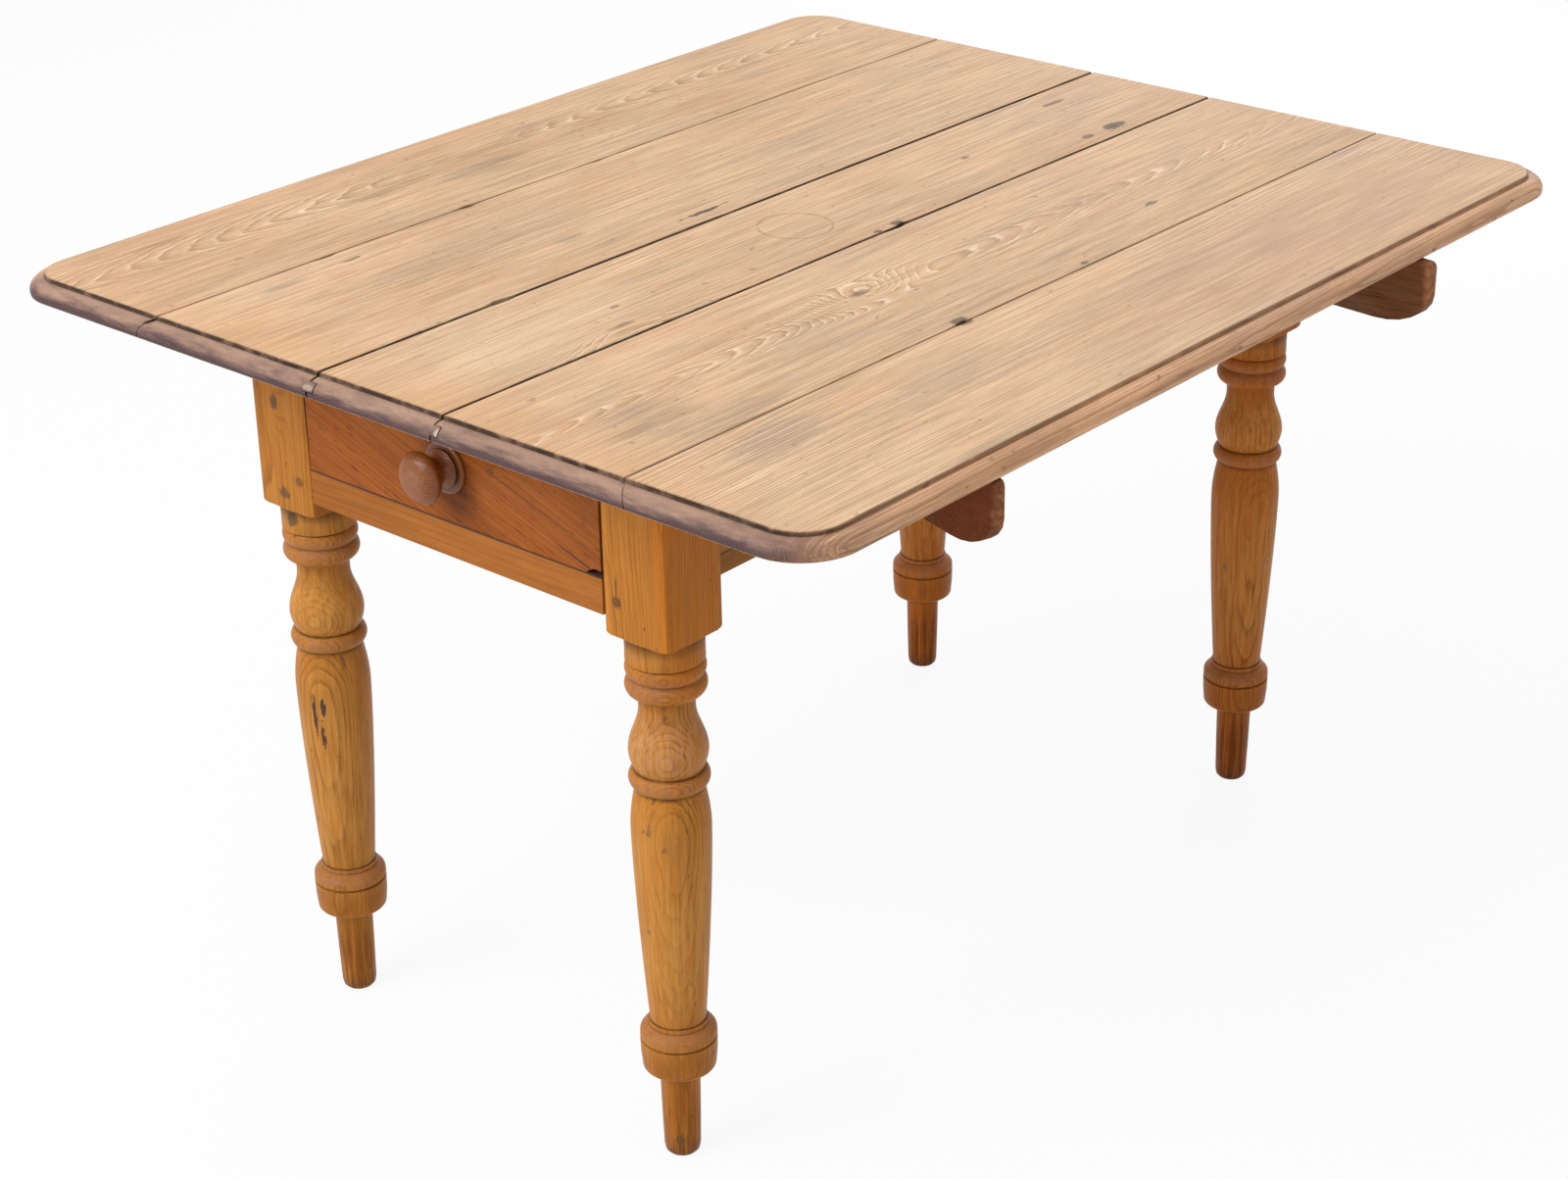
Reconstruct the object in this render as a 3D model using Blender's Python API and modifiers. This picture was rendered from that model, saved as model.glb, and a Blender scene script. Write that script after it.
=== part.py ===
"""Pine drop-leaf kitchen table.

Three fixed boards and two rule-jointed leaves stand on four turned legs, with a drawer in one
end. Wooden brackets swing out of the side rails, on knuckle joints, to hold the leaves up.
X runs across the boards, Y along them and Z up from the floor; the drawer end faces -Y.
The right side is modelled once and turned half round for the left one.
"""

import math

import bmesh
import bpy
from mathutils import Matrix, Vector

# Clearances, in metres like every size here
SEAT_GAP = 0.0003  # between pieces that rest on or fit in one another
RUNNING_GAP = 0.0005  # between pieces that move past one another
CUT_MARGIN = 0.005  # how far a cutter reaches past the wood it cuts

# Top
TOP_HEIGHT = 0.765
TOP_WIDTH = 1.030
TOP_LENGTH = 1.214
TOP_THICKNESS = 0.021
CORNER_RADIUS = 0.058
THUMB_REACH = 0.016  # thumb moulding, from the arris out to the nose
THUMB_DEPTH = 0.012
THUMB_FILLET = 0.004  # upright step between the top and the thumb
UNDER_ROUND = 0.003  # rounding of the lower edge
FIXED_WIDTH = 0.600  # between the two hinge lines
SEAM_LEFT = -0.075
SEAM_LEFT_GAP = 0.003  # the boards have shrunk apart
SEAM_RIGHT = 0.085
SEAM_RIGHT_GAP = 0.0022
TONGUE_THICKNESS = 0.007
TONGUE_REACH = 0.009
RULE_FILLET = 0.0045  # upright step at the top of the rule joint
RULE_RADIUS = 0.013
RULE_GAP = 0.001

# Iron table hinges, let into the underside
HINGE_INSET = 0.247  # from each end of the top to the middle of a hinge
HINGE_WIDTH = 0.040
HINGE_PLATE = 0.0018
HINGE_TOP_REACH = 0.034
HINGE_LEAF_REACH = 0.052
HINGE_KNUCKLE_RADIUS = 0.0031
HINGE_PIN_RADIUS = 0.0012

# Legs, turned from square stock
LEG_SQUARE = 0.076
SIDE_OVERHANG = 0.0317  # hinge line past the outer face of the legs
END_OVERHANG = 0.093
BLOCK_LENGTH = 0.180
SHOULDER_RISE = 0.006  # how far the corners of the block are rounded up
NECK_LENGTH = 0.0365
NECK_RADIUS = 0.0366
BEAD_LENGTH = 0.0135
BEAD_RADIUS = 0.0370
GROOVE_LENGTH = 0.0015
GROOVE_DEPTH = 0.0030
RING_LENGTH = 0.0150
RING_RADIUS = 0.0377
VASE_NECK_DROP = 0.0137
VASE_NECK_RADIUS = 0.0259
VASE_BELLY_DROP = 0.0400
VASE_BELLY_RADIUS = 0.0368
VASE_FOOT_DROP = 0.0225
VASE_FOOT_RADIUS = 0.0319
COLUMN_TOP_RADIUS = 0.0318
COLUMN_RISE = 0.0430
COLUMN_RADIUS = 0.0375
COLUMN_FOOT_RADIUS = 0.0266
COLUMN_TAPER_POWER = 1.45  # the taper quickens towards the collar
COLLAR_BEAD_LENGTH = 0.0285
COLLAR_RADIUS = 0.0361
COLLAR_BAND_LENGTH = 0.0390
COLLAR_ROUND = 0.0130
FOOT_LENGTH = 0.0825
FOOT_TOP_RADIUS = 0.0187
FOOT_RADIUS = 0.0171
FOOT_ROUND = 0.0045
TURNING_STEPS = 16

# Rails, tenoned into the legs
TENON_THICKNESS = 0.010
TENON_LENGTH = 0.030
TENON_SHOULDER = 0.008  # left off the top and bottom of each tenon
SIDE_RAIL_DEPTH = 0.145
SIDE_RAIL_THICKNESS = 0.022
FLY_RAIL_DEPTH = 0.117
FLY_RAIL_INSET = 0.004  # behind the outer face of the legs
BACK_RAIL_DEPTH = 0.150
BACK_RAIL_THICKNESS = 0.022
FRONT_INSET = 0.0008  # front and back rails behind the faces of the legs
LOWER_RAIL_HEIGHT = 0.036
LOWER_RAIL_DEPTH = 0.032
UPPER_RAIL_HEIGHT = 0.022
UPPER_RAIL_DEPTH = 0.050
UPPER_TONGUE_LENGTH = 0.020
UPPER_TONGUE_NECK = 0.020
UPPER_TONGUE_TIP = 0.028
PEG_RADIUS = 0.0050
PEG_LENGTH = 0.036
PEG_PROUD = 0.0006
PEG_INSET = 0.0172  # in from the inner edge of the leg block

# Brackets that swing out under the leaves
BRACKET_LENGTH = 0.272  # from pin to tip
BRACKET_DEPTH = 0.070
BRACKET_THICKNESS = 0.013
BRACKET_END_HEIGHT = 0.035
BRACKET_SWEEP = 0.062  # length of the curve under the tip
BRACKET_TIP_ROUND = 0.006
BRACKET_NEAR = -0.286  # where the pins stand along the right side
BRACKET_FAR = 0.343
KNUCKLE_FINGERS = 5
BRACKET_PIN_RADIUS = 0.0025
BRACKET_PIN_TAIL = 0.015  # driven into the rail under the lowest finger
OPEN_NEAR = 107.5  # degrees out of the rail, as the right ones stand open
OPEN_FAR = 85.2
WIDEST_OPENING = 110.0  # what the bevelled shoulders of the knuckles allow

# Drawer
DRAWER_OPENING = 0.110
DRAWER_SIDE_GAP = 0.0010
DRAWER_TOP_GAP = 0.0015
DRAWER_LENGTH = 0.520
DRAWER_FRONT_THICKNESS = 0.020
DRAWER_BOARD = 0.011
DRAWER_SIDE_HEIGHT = 0.098
DRAWER_BACK_HEIGHT = 0.080
DRAWER_BOTTOM_THICKNESS = 0.007
DRAWER_BOTTOM_RISE = 0.010
DRAWER_GROOVE = 0.005
DOVETAIL_COUNT = 3
DOVETAIL_LENGTH = 0.013
DOVETAIL_WIDTH = 0.022
DOVETAIL_FLARE = 0.0025
CHIP_LENGTH = 0.017  # broken off the lower right corner of the front
CHIP_HEIGHT = 0.006
RUNNER_WIDTH = 0.058
RUNNER_THICKNESS = 0.020
GUIDE_HEIGHT = 0.018
KICKER_WIDTH = 0.030
STOP_LENGTH = 0.030
STOP_DEPTH = 0.010
STOP_HEIGHT = 0.0060
STOP_SPREAD = 0.110  # each side of the middle
GLUE_BLOCK = 0.030
GLUE_BLOCK_LENGTH = 0.140

# Knob
KNOB_FLANGE_RADIUS = 0.0255
KNOB_FLANGE_THICKNESS = 0.0045
KNOB_STEP_RADIUS = 0.0190
KNOB_NECK_RADIUS = 0.0125
KNOB_NECK_LENGTH = 0.0140
KNOB_HEAD_RADIUS = 0.0255
KNOB_HEAD_THICKNESS = 0.0250
KNOB_STEM_RADIUS = 0.0070

# Places worked out from those sizes
UNDERSIDE = TOP_HEIGHT - TOP_THICKNESS
FRAME_TOP = UNDERSIDE - SEAT_GAP
HINGE_X = FIXED_WIDTH / 2
HINGE_Z = TOP_HEIGHT - RULE_FILLET - RULE_RADIUS
LEG_OUTER_X = HINGE_X - SIDE_OVERHANG
LEG_OUTER_Y = TOP_LENGTH / 2 - END_OVERHANG
LEG_INNER_X = LEG_OUTER_X - LEG_SQUARE
LEG_INNER_Y = LEG_OUTER_Y - LEG_SQUARE
LEG_X = LEG_OUTER_X - LEG_SQUARE / 2
LEG_Y = LEG_OUTER_Y - LEG_SQUARE / 2
UPPER_RAIL_BOTTOM = FRAME_TOP - UPPER_RAIL_HEIGHT
LOWER_RAIL_TOP = UPPER_RAIL_BOTTOM - DRAWER_OPENING
LOWER_RAIL_BOTTOM = LOWER_RAIL_TOP - LOWER_RAIL_HEIGHT
FRONT_FACE = -LEG_OUTER_Y + FRONT_INSET
BACK_FACE = LEG_OUTER_Y - FRONT_INSET
FLY_OUTER = LEG_OUTER_X - FLY_RAIL_INSET
FLY_INNER = FLY_OUTER - BRACKET_THICKNESS
PIN_X = (FLY_OUTER + FLY_INNER) / 2
SIDE_RAIL_OUTER = FLY_INNER - SEAT_GAP
SIDE_RAIL_INNER = SIDE_RAIL_OUTER - SIDE_RAIL_THICKNESS
BRACKET_BOTTOM = FRAME_TOP - BRACKET_DEPTH
FINGER_HEIGHT = BRACKET_DEPTH / KNUCKLE_FINGERS

for leftover in list(bpy.data.objects):
    bpy.data.objects.remove(leftover, do_unlink=True)
PARTS = bpy.data.collections.new("drop_leaf_table")
CUTTERS = bpy.data.collections.new("cutters")
for group in (PARTS, CUTTERS):
    bpy.context.scene.collection.children.link(group)

# Colour, roughness and metallic value of each finish
FINISHES = {
    "scrubbed_pine": ((0.66, 0.46, 0.30), 0.55, 0.0),
    "waxed_pine": ((0.42, 0.18, 0.05), 0.40, 0.0),
    "red_pine": ((0.32, 0.11, 0.03), 0.42, 0.0),
    "bare_pine": ((0.45, 0.30, 0.17), 0.75, 0.0),
    "dark_bracket": ((0.13, 0.055, 0.025), 0.65, 0.0),
    "knob_brown": ((0.22, 0.09, 0.035), 0.35, 0.0),
    "old_iron": ((0.06, 0.05, 0.045), 0.60, 0.9),
}


def group_empty(name, turn=0.0):
    empty = bpy.data.objects.new(name, None)
    empty.rotation_euler.z = turn
    PARTS.objects.link(empty)
    return empty


def part(name, shape, finish, parent=None, origin=(0, 0, 0)):
    """An object made of the shape, with its own material and its origin where it is placed or turns."""
    mesh = bpy.data.meshes.new(name)
    bmesh.ops.translate(shape, verts=shape.verts, vec=-Vector(origin))
    shape.to_mesh(mesh)
    shape.free()
    piece = bpy.data.objects.new(name, mesh)
    piece.parent = parent
    piece.location = Vector(origin) - (parent.location if parent else Vector())
    colour, roughness, metallic = FINISHES[finish]
    material = bpy.data.materials.new(name)
    material.use_nodes = True
    surface = material.node_tree.nodes["Principled BSDF"]
    surface.inputs["Base Color"].default_value = (*colour, 1)
    surface.inputs["Roughness"].default_value = roughness
    surface.inputs["Metallic"].default_value = metallic
    mesh.materials.append(material)
    PARTS.objects.link(piece)
    return piece


def helper(name, shape, parent=None):
    """A cutter: it shapes a part and is no part itself."""
    mesh = bpy.data.meshes.new(name)
    shape.to_mesh(mesh)
    shape.free()
    tool = bpy.data.objects.new(name, mesh)
    tool.parent = parent
    tool.hide_render = True
    tool.display_type = "WIRE"
    CUTTERS.objects.link(tool)
    return tool


def combine(piece, tool, operation):
    step = piece.modifiers.new(tool.name, "BOOLEAN")
    step.operation = operation
    step.object = tool


def cut(piece, shape, parent=None):
    combine(piece, helper(f"{piece.name}_cut", shape, parent), "DIFFERENCE")


def join(piece, shape, parent=None):
    combine(piece, helper(f"{piece.name}_join", shape, parent), "UNION")


def box(low, high):
    low, high = Vector(low), Vector(high)
    place = Matrix.Translation((low + high) / 2) @ Matrix.Diagonal((*(high - low), 1))
    shape = bmesh.new()
    bmesh.ops.create_cube(shape, size=1, matrix=place)
    return shape


def grown(low, high, gap):
    """The box that clears a piece from low to high by the gap on every side."""
    room = Vector((gap, gap, gap))
    return box(Vector(low) - room, Vector(high) + room)


def rod(shape, radius, start, end, sides=16):
    """Adds a round bar to the shape, from the start point to the end point."""
    start, end = Vector(start), Vector(end)
    along = end - start
    place = Matrix.Translation((start + end) / 2) @ along.to_track_quat("Z", "Y").to_matrix().to_4x4()
    sizes = {"radius1": radius, "radius2": radius, "depth": along.length}
    bmesh.ops.create_cone(shape, cap_ends=True, segments=sides, matrix=place, **sizes)
    return shape


def prism(outline, axis, low, high):
    """The outline, drawn in the plane square to the axis, drawn out from low to high along it."""
    order = {"X": (2, 0, 1), "Y": (0, 2, 1), "Z": (0, 1, 2)}[axis]

    def where(*across_up_along):
        return [across_up_along[i] for i in order]

    shape = bmesh.new()
    face = shape.faces.new([shape.verts.new(where(a, b, low)) for a, b in outline])
    raised = bmesh.ops.extrude_face_region(shape, geom=[face])["geom"]
    corners = [v for v in raised if isinstance(v, bmesh.types.BMVert)]
    bmesh.ops.translate(shape, verts=corners, vec=where(0, 0, high - low))
    bmesh.ops.recalc_face_normals(shape, faces=shape.faces)
    return shape


def arc(centre, radius, start, end, steps):
    """Points on a circle from one angle to another, in degrees."""
    angles = [math.radians(start + (end - start) * i / steps) for i in range(steps + 1)]
    return [(centre[0] + radius * math.cos(a), centre[1] + radius * math.sin(a)) for a in angles]


# Top boards and leaves
SIDES = {"right": group_empty("right_side"), "left": group_empty("left_side", math.pi)}
END_NAMES = {"right": ("front", "back"), "left": ("back", "front")}
HINGE_PLACES = (HINGE_INSET - TOP_LENGTH / 2, TOP_LENGTH / 2 - HINGE_INSET)


def top_ring(inset, z, corner_steps=6):
    """The plan of the top, drawn in by the inset."""
    radius = CORNER_RADIUS - inset
    x = TOP_WIDTH / 2 - CORNER_RADIUS
    y = TOP_LENGTH / 2 - CORNER_RADIUS
    ring = []
    for corner, (sx, sy) in enumerate(((1, 1), (-1, 1), (-1, -1), (1, -1))):
        ring += arc((sx * x, sy * y), radius, 90 * corner, 90 * corner + 90, corner_steps)
    return [(px, py, z) for px, py in ring]


def moulded_top():
    """The whole top in one piece, with the thumb moulding run round it, before it is cut into boards."""
    nose = TOP_HEIGHT - THUMB_FILLET - THUMB_DEPTH
    lower_edge = arc((0, 0), UNDER_ROUND, -90, 0, 2)
    profile = [(UNDER_ROUND - x, UNDERSIDE + UNDER_ROUND + z) for x, z in lower_edge]
    profile += [
        (THUMB_REACH * (1 - math.cos(a)), nose + THUMB_DEPTH * math.sin(a))
        for a in (math.radians(15 * i) for i in range(7))
    ]
    profile.append((THUMB_REACH, TOP_HEIGHT))
    shape = bmesh.new()
    rings = [[shape.verts.new(p) for p in top_ring(inset, z)] for inset, z in profile]
    for lower, upper in zip(rings, rings[1:]):
        for i in range(len(lower)):
            shape.faces.new((lower[i - 1], lower[i], upper[i], upper[i - 1]))
    shape.faces.new(list(reversed(rings[0])))
    shape.faces.new(rings[-1])
    return shape


def rule_round():
    """Edge of the fixed top at the hinge line: an upright step, then a quarter round about the hinge pin."""
    below = math.degrees(math.asin((HINGE_Z - UNDERSIDE) / RULE_RADIUS))
    curve = arc((HINGE_X, HINGE_Z), RULE_RADIUS, 90, -below, 8)
    return [(HINGE_X, TOP_HEIGHT + CUT_MARGIN), *curve, (curve[-1][0], UNDERSIDE - CUT_MARGIN)]


def rule_hollow():
    """Edge of the leaf, which turns about the same pin and keeps clear of the round by the gap."""
    radius = RULE_RADIUS + RULE_GAP
    start = math.degrees(math.acos(RULE_GAP / radius))
    curve = arc((HINGE_X, HINGE_Z), radius, start, 0, 8)
    below = (HINGE_X + radius, UNDERSIDE - CUT_MARGIN)
    return [(HINGE_X + RULE_GAP, TOP_HEIGHT + CUT_MARGIN), *curve, below]


def mirrored(edge):
    return [(-x, z) for x, z in edge]


def seam_edge(x, reach, height):
    """Edge of a fixed board at a seam: a tongue or a groove that reaches from x, in mid thickness."""
    middle = (TOP_HEIGHT + UNDERSIDE) / 2
    return [
        (x, TOP_HEIGHT + CUT_MARGIN),
        (x, middle + height / 2),
        (x + reach, middle + height / 2),
        (x + reach, middle - height / 2),
        (x, middle - height / 2),
        (x, UNDERSIDE - CUT_MARGIN),
    ]


def tongue(seam, gap):
    return seam_edge(seam - gap / 2, TONGUE_REACH, TONGUE_THICKNESS)


def groove(seam, gap):
    return seam_edge(seam + gap / 2, TONGUE_REACH - gap + RUNNING_GAP, TONGUE_THICKNESS + 2 * SEAT_GAP)


TOP_BLANK = helper("moulded_top", moulded_top())


def board(name, left_edge, right_edge, parent=None, origin=(0, 0, 0)):
    """A board of the top: the moulded top between two edges, each listed from the top down."""
    half = TOP_LENGTH / 2 + CUT_MARGIN
    strip = prism(left_edge + right_edge[::-1], "Y", -half, half)
    piece = part(name, strip, "scrubbed_pine", parent, origin)
    combine(piece, TOP_BLANK, "INTERSECT")
    return piece


def outer_edge():
    edge = TOP_WIDTH / 2 + CUT_MARGIN
    return [(edge, TOP_HEIGHT + CUT_MARGIN), (edge, UNDERSIDE - CUT_MARGIN)]


left_board = board("top_board_left", mirrored(rule_round()), tongue(SEAM_LEFT, SEAM_LEFT_GAP))
board("top_board_middle", groove(SEAM_LEFT, SEAM_LEFT_GAP), tongue(SEAM_RIGHT, SEAM_RIGHT_GAP))
right_board = board("top_board_right", groove(SEAM_RIGHT, SEAM_RIGHT_GAP), rule_round())

PLATE_LOW = UNDERSIDE + SEAT_GAP
PLATE_HIGH = PLATE_LOW + HINGE_PLATE
KNUCKLE_ROOM = HINGE_KNUCKLE_RADIUS + RUNNING_GAP


def knuckle_span(y, third):
    """Where a knuckle of the hinge at y starts and ends along the pin; third is -1, 0 or 1."""
    middle = y + third * HINGE_WIDTH / 3
    half = HINGE_WIDTH / 6 - RUNNING_GAP / 2
    return middle - half, middle + half


def along_pin(radius, start, end, sides):
    return rod(bmesh.new(), radius, (HINGE_X, start, HINGE_Z), (HINGE_X, end, HINGE_Z), sides)


def hinge_plate(name, y, way, reach, thirds, side):
    """A plate on one side of the hinge line (way is 1 or -1), with tabs that run to its knuckles."""
    low_y = y - HINGE_WIDTH / 2
    high_y = y + HINGE_WIDTH / 2
    root = HINGE_X + way * KNUCKLE_ROOM
    outline = [(HINGE_X + way * reach, low_y), (root, low_y)]
    for third in thirds:
        start, end = knuckle_span(y, third)
        outline += [(root, start), (HINGE_X, start), (HINGE_X, end), (root, end)]
    outline += [(root, high_y), (HINGE_X + way * reach, high_y)]
    shape = prism(outline, "Z", PLATE_LOW, PLATE_HIGH)
    plate = part(name, shape, "old_iron", side, (HINGE_X, y, HINGE_Z))
    for third in thirds:
        join(plate, along_pin(HINGE_KNUCKLE_RADIUS, *knuckle_span(y, third), 12), side)
    bore = HINGE_PIN_RADIUS + SEAT_GAP
    cut(plate, along_pin(bore, low_y - CUT_MARGIN, high_y + CUT_MARGIN, 8), side)


def hang_leaf(name, fixed_board):
    """The leaf of one side, its iron hinges, and the recesses that take them."""
    side = SIDES[name]
    leaf = board(f"leaf_{name}", rule_hollow(), outer_edge(), side, (HINGE_X, 0, HINGE_Z))
    half = HINGE_WIDTH / 2 + SEAT_GAP
    low = UNDERSIDE - CUT_MARGIN
    recess = PLATE_HIGH + SEAT_GAP
    slot_end = HINGE_X + RULE_RADIUS + RULE_GAP
    plate_end = HINGE_X - HINGE_TOP_REACH - SEAT_GAP
    leaf_end = HINGE_X + HINGE_LEAF_REACH + SEAT_GAP
    for y, end_name in zip(HINGE_PLACES, END_NAMES[name]):
        cut(fixed_board, box((plate_end, y - half, low), (slot_end, y + half, recess)), side)
        room_low = (HINGE_X - KNUCKLE_ROOM, y - half, low)
        cut(fixed_board, box(room_low, (slot_end, y + half, HINGE_Z + KNUCKLE_ROOM)), side)
        cut(leaf, box((HINGE_X, y - half, low), (leaf_end, y + half, recess)), side)
        place = f"{name}_{end_name}"
        hinge_plate(f"hinge_top_plate_{place}", y, -1, HINGE_TOP_REACH, (-1, 1), side)
        hinge_plate(f"hinge_leaf_plate_{place}", y, 1, HINGE_LEAF_REACH, (0,), side)
        pin = along_pin(HINGE_PIN_RADIUS, y - HINGE_WIDTH / 2, y + HINGE_WIDTH / 2, 8)
        part(f"hinge_pin_{place}", pin, "old_iron", side, (HINGE_X, y, HINGE_Z))


hang_leaf("right", right_board)
hang_leaf("left", left_board)


# Legs
def stretch(start, end, steps, ease):
    """Points of a turned profile from one (radius, height) to another, without the first."""
    points = []
    for i in range(1, steps + 1):
        t = i / steps
        points.append((start[0] + (end[0] - start[0]) * ease(t), start[1] + (end[1] - start[1]) * t))
    return points


def s_curve(t):
    return (1 - math.cos(math.pi * t)) / 2


def swelling_out(t):
    return math.sin(math.pi * t / 2)


def falling_in(t):
    return 1 - math.cos(math.pi * t / 2)


def bead(top, length, edge, fullest, steps=4):
    """A half-round bead, from its top edge down to its lower edge."""
    turns = [i / steps for i in range(steps + 1)]
    return [(edge + (fullest - edge) * math.sin(math.pi * t), top - length * t) for t in turns]


def leg_profile():
    """Radius and height of the turned leg, from the top of its block down to the floor."""
    stock = LEG_SQUARE / 2
    past_corner = LEG_SQUARE * 0.75
    block_bottom = FRAME_TOP - BLOCK_LENGTH
    profile = [(0, FRAME_TOP), (past_corner, FRAME_TOP), (past_corner, block_bottom + SHOULDER_RISE)]
    for t in (0.6, 0.3, 0):
        profile.append((stock + (past_corner - stock) * t, block_bottom + SHOULDER_RISE * t * t))
    neck_bottom = block_bottom - NECK_LENGTH
    profile += [(NECK_RADIUS, block_bottom), (NECK_RADIUS, neck_bottom)]
    bead_top = neck_bottom - GROOVE_LENGTH
    profile += bead(bead_top, BEAD_LENGTH, BEAD_RADIUS - GROOVE_DEPTH, BEAD_RADIUS)
    ring_top = bead_top - BEAD_LENGTH - GROOVE_LENGTH
    profile += bead(ring_top, RING_LENGTH, RING_RADIUS - GROOVE_DEPTH, RING_RADIUS)
    vase_top = ring_top - RING_LENGTH
    vase_start = (RING_RADIUS - 2 * GROOVE_DEPTH, vase_top)
    vase_neck = (VASE_NECK_RADIUS, vase_top - VASE_NECK_DROP)
    vase_belly = (VASE_BELLY_RADIUS, vase_neck[1] - VASE_BELLY_DROP)
    vase_foot = (VASE_FOOT_RADIUS, vase_belly[1] - VASE_FOOT_DROP)
    profile += [vase_start, *stretch(vase_start, vase_neck, 3, swelling_out)]
    profile += stretch(vase_neck, vase_belly, 5, s_curve) + stretch(vase_belly, vase_foot, 3, falling_in)
    lower_ring_top = vase_foot[1] - GROOVE_LENGTH
    profile += bead(lower_ring_top, RING_LENGTH, RING_RADIUS - GROOVE_DEPTH, RING_RADIUS)
    column_top = (COLUMN_TOP_RADIUS, lower_ring_top - RING_LENGTH)
    column_full = (COLUMN_RADIUS, column_top[1] - COLUMN_RISE)
    collar_bottom = FOOT_LENGTH
    band_top = collar_bottom + COLLAR_BAND_LENGTH
    collar_top = band_top + GROOVE_LENGTH + COLLAR_BEAD_LENGTH
    column_foot = (COLUMN_FOOT_RADIUS, collar_top)
    profile += [column_top, *stretch(column_top, column_full, 3, swelling_out)]
    profile += stretch(column_full, column_foot, 5, lambda t: t**COLUMN_TAPER_POWER)
    collar_full = (COLLAR_RADIUS, collar_top - COLLAR_BEAD_LENGTH * 0.55)
    profile += stretch(column_foot, collar_full, 4, swelling_out)
    profile += [(COLLAR_RADIUS, band_top + GROOVE_LENGTH), (COLLAR_RADIUS - GROOVE_DEPTH / 2, band_top)]
    profile.append((COLLAR_RADIUS, band_top - GROOVE_LENGTH))
    band_bottom = (COLLAR_RADIUS, collar_bottom + COLLAR_ROUND)
    profile += [band_bottom, *stretch(band_bottom, (FOOT_TOP_RADIUS, collar_bottom), 3, falling_in)]
    profile += [(FOOT_RADIUS, FOOT_ROUND), (FOOT_RADIUS - FOOT_ROUND, 0), (0, 0)]
    return profile


def turned(name, profile, finish, parent=None, origin=(0, 0, 0)):
    """A shape turned on the lathe about its own Z axis, from a profile of (radius, height)."""
    shape = bmesh.new()
    points = [shape.verts.new((origin[0] + radius, origin[1], origin[2] + z)) for radius, z in profile]
    for upper, lower in zip(points, points[1:]):
        shape.edges.new((upper, lower))
    piece = part(name, shape, finish, parent, origin)
    lathe = piece.modifiers.new("lathe", "SCREW")
    lathe.steps = TURNING_STEPS
    lathe.render_steps = TURNING_STEPS
    lathe.use_merge_vertices = True
    lathe.merge_threshold = 0.0001
    lathe.use_smooth_shade = True
    return piece


def at_corner(low, high, sx, sy):
    """A box given for the back right corner, moved to the corner with these signs."""
    xs = sorted((sx * low[0], sx * high[0]))
    ys = sorted((sy * low[1], sy * high[1]))
    return (xs[0], ys[0], low[2]), (xs[1], ys[1], high[2])


SIDE_RAIL_BOTTOM = FRAME_TOP - SIDE_RAIL_DEPTH
BACK_RAIL_BOTTOM = FRAME_TOP - BACK_RAIL_DEPTH
SIDE_TENON_X = (SIDE_RAIL_INNER + SIDE_RAIL_OUTER) / 2
LOWER_TENON_Y = -FRONT_FACE - LOWER_RAIL_DEPTH / 2
BACK_TENON_Y = BACK_FACE - BACK_RAIL_THICKNESS / 2
UPPER_RAIL_Y = -FRONT_FACE - UPPER_RAIL_DEPTH / 2
PEG_X = LEG_INNER_X + PEG_INSET
PEG_HEIGHTS = {
    -1: [(LOWER_RAIL_TOP + LOWER_RAIL_BOTTOM) / 2],
    1: [BACK_RAIL_BOTTOM + BACK_RAIL_DEPTH * share for share in (0.3, 0.7)],
}


def tenon_of_side_rail():
    half = TENON_THICKNESS / 2
    low = (SIDE_TENON_X - half, LEG_INNER_Y - CUT_MARGIN, SIDE_RAIL_BOTTOM + TENON_SHOULDER)
    return low, (SIDE_TENON_X + half, LEG_INNER_Y + TENON_LENGTH, FRAME_TOP - TENON_SHOULDER)


def tenon_of_end_rail(y, bottom, top):
    half = TENON_THICKNESS / 2
    low = (LEG_INNER_X - CUT_MARGIN, y - half, bottom + TENON_SHOULDER)
    return low, (LEG_INNER_X + TENON_LENGTH, y + half, top - TENON_SHOULDER)


END_TENONS = {
    -1: tenon_of_end_rail(LOWER_TENON_Y, LOWER_RAIL_BOTTOM, LOWER_RAIL_TOP),
    1: tenon_of_end_rail(BACK_TENON_Y, BACK_RAIL_BOTTOM, FRAME_TOP),
}


def upper_dovetail(sx, gap):
    """Plan of the dovetail that ties the upper rail into the top of a front leg."""
    root = LEG_INNER_X - CUT_MARGIN
    tip = LEG_INNER_X + UPPER_TONGUE_LENGTH + gap
    neck = UPPER_TONGUE_NECK / 2 + gap
    end = UPPER_TONGUE_TIP / 2 + gap
    y = -UPPER_RAIL_Y
    return [(sx * root, y - neck), (sx * tip, y - end), (sx * tip, y + end), (sx * root, y + neck)]


def peg_line(sx, sy, z):
    """Start and end of a peg, from just proud of the leg inwards."""
    x = sx * PEG_X
    outer = sy * (LEG_OUTER_Y + PEG_PROUD)
    return (x, outer, z), (x, outer - sy * PEG_LENGTH, z)


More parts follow.
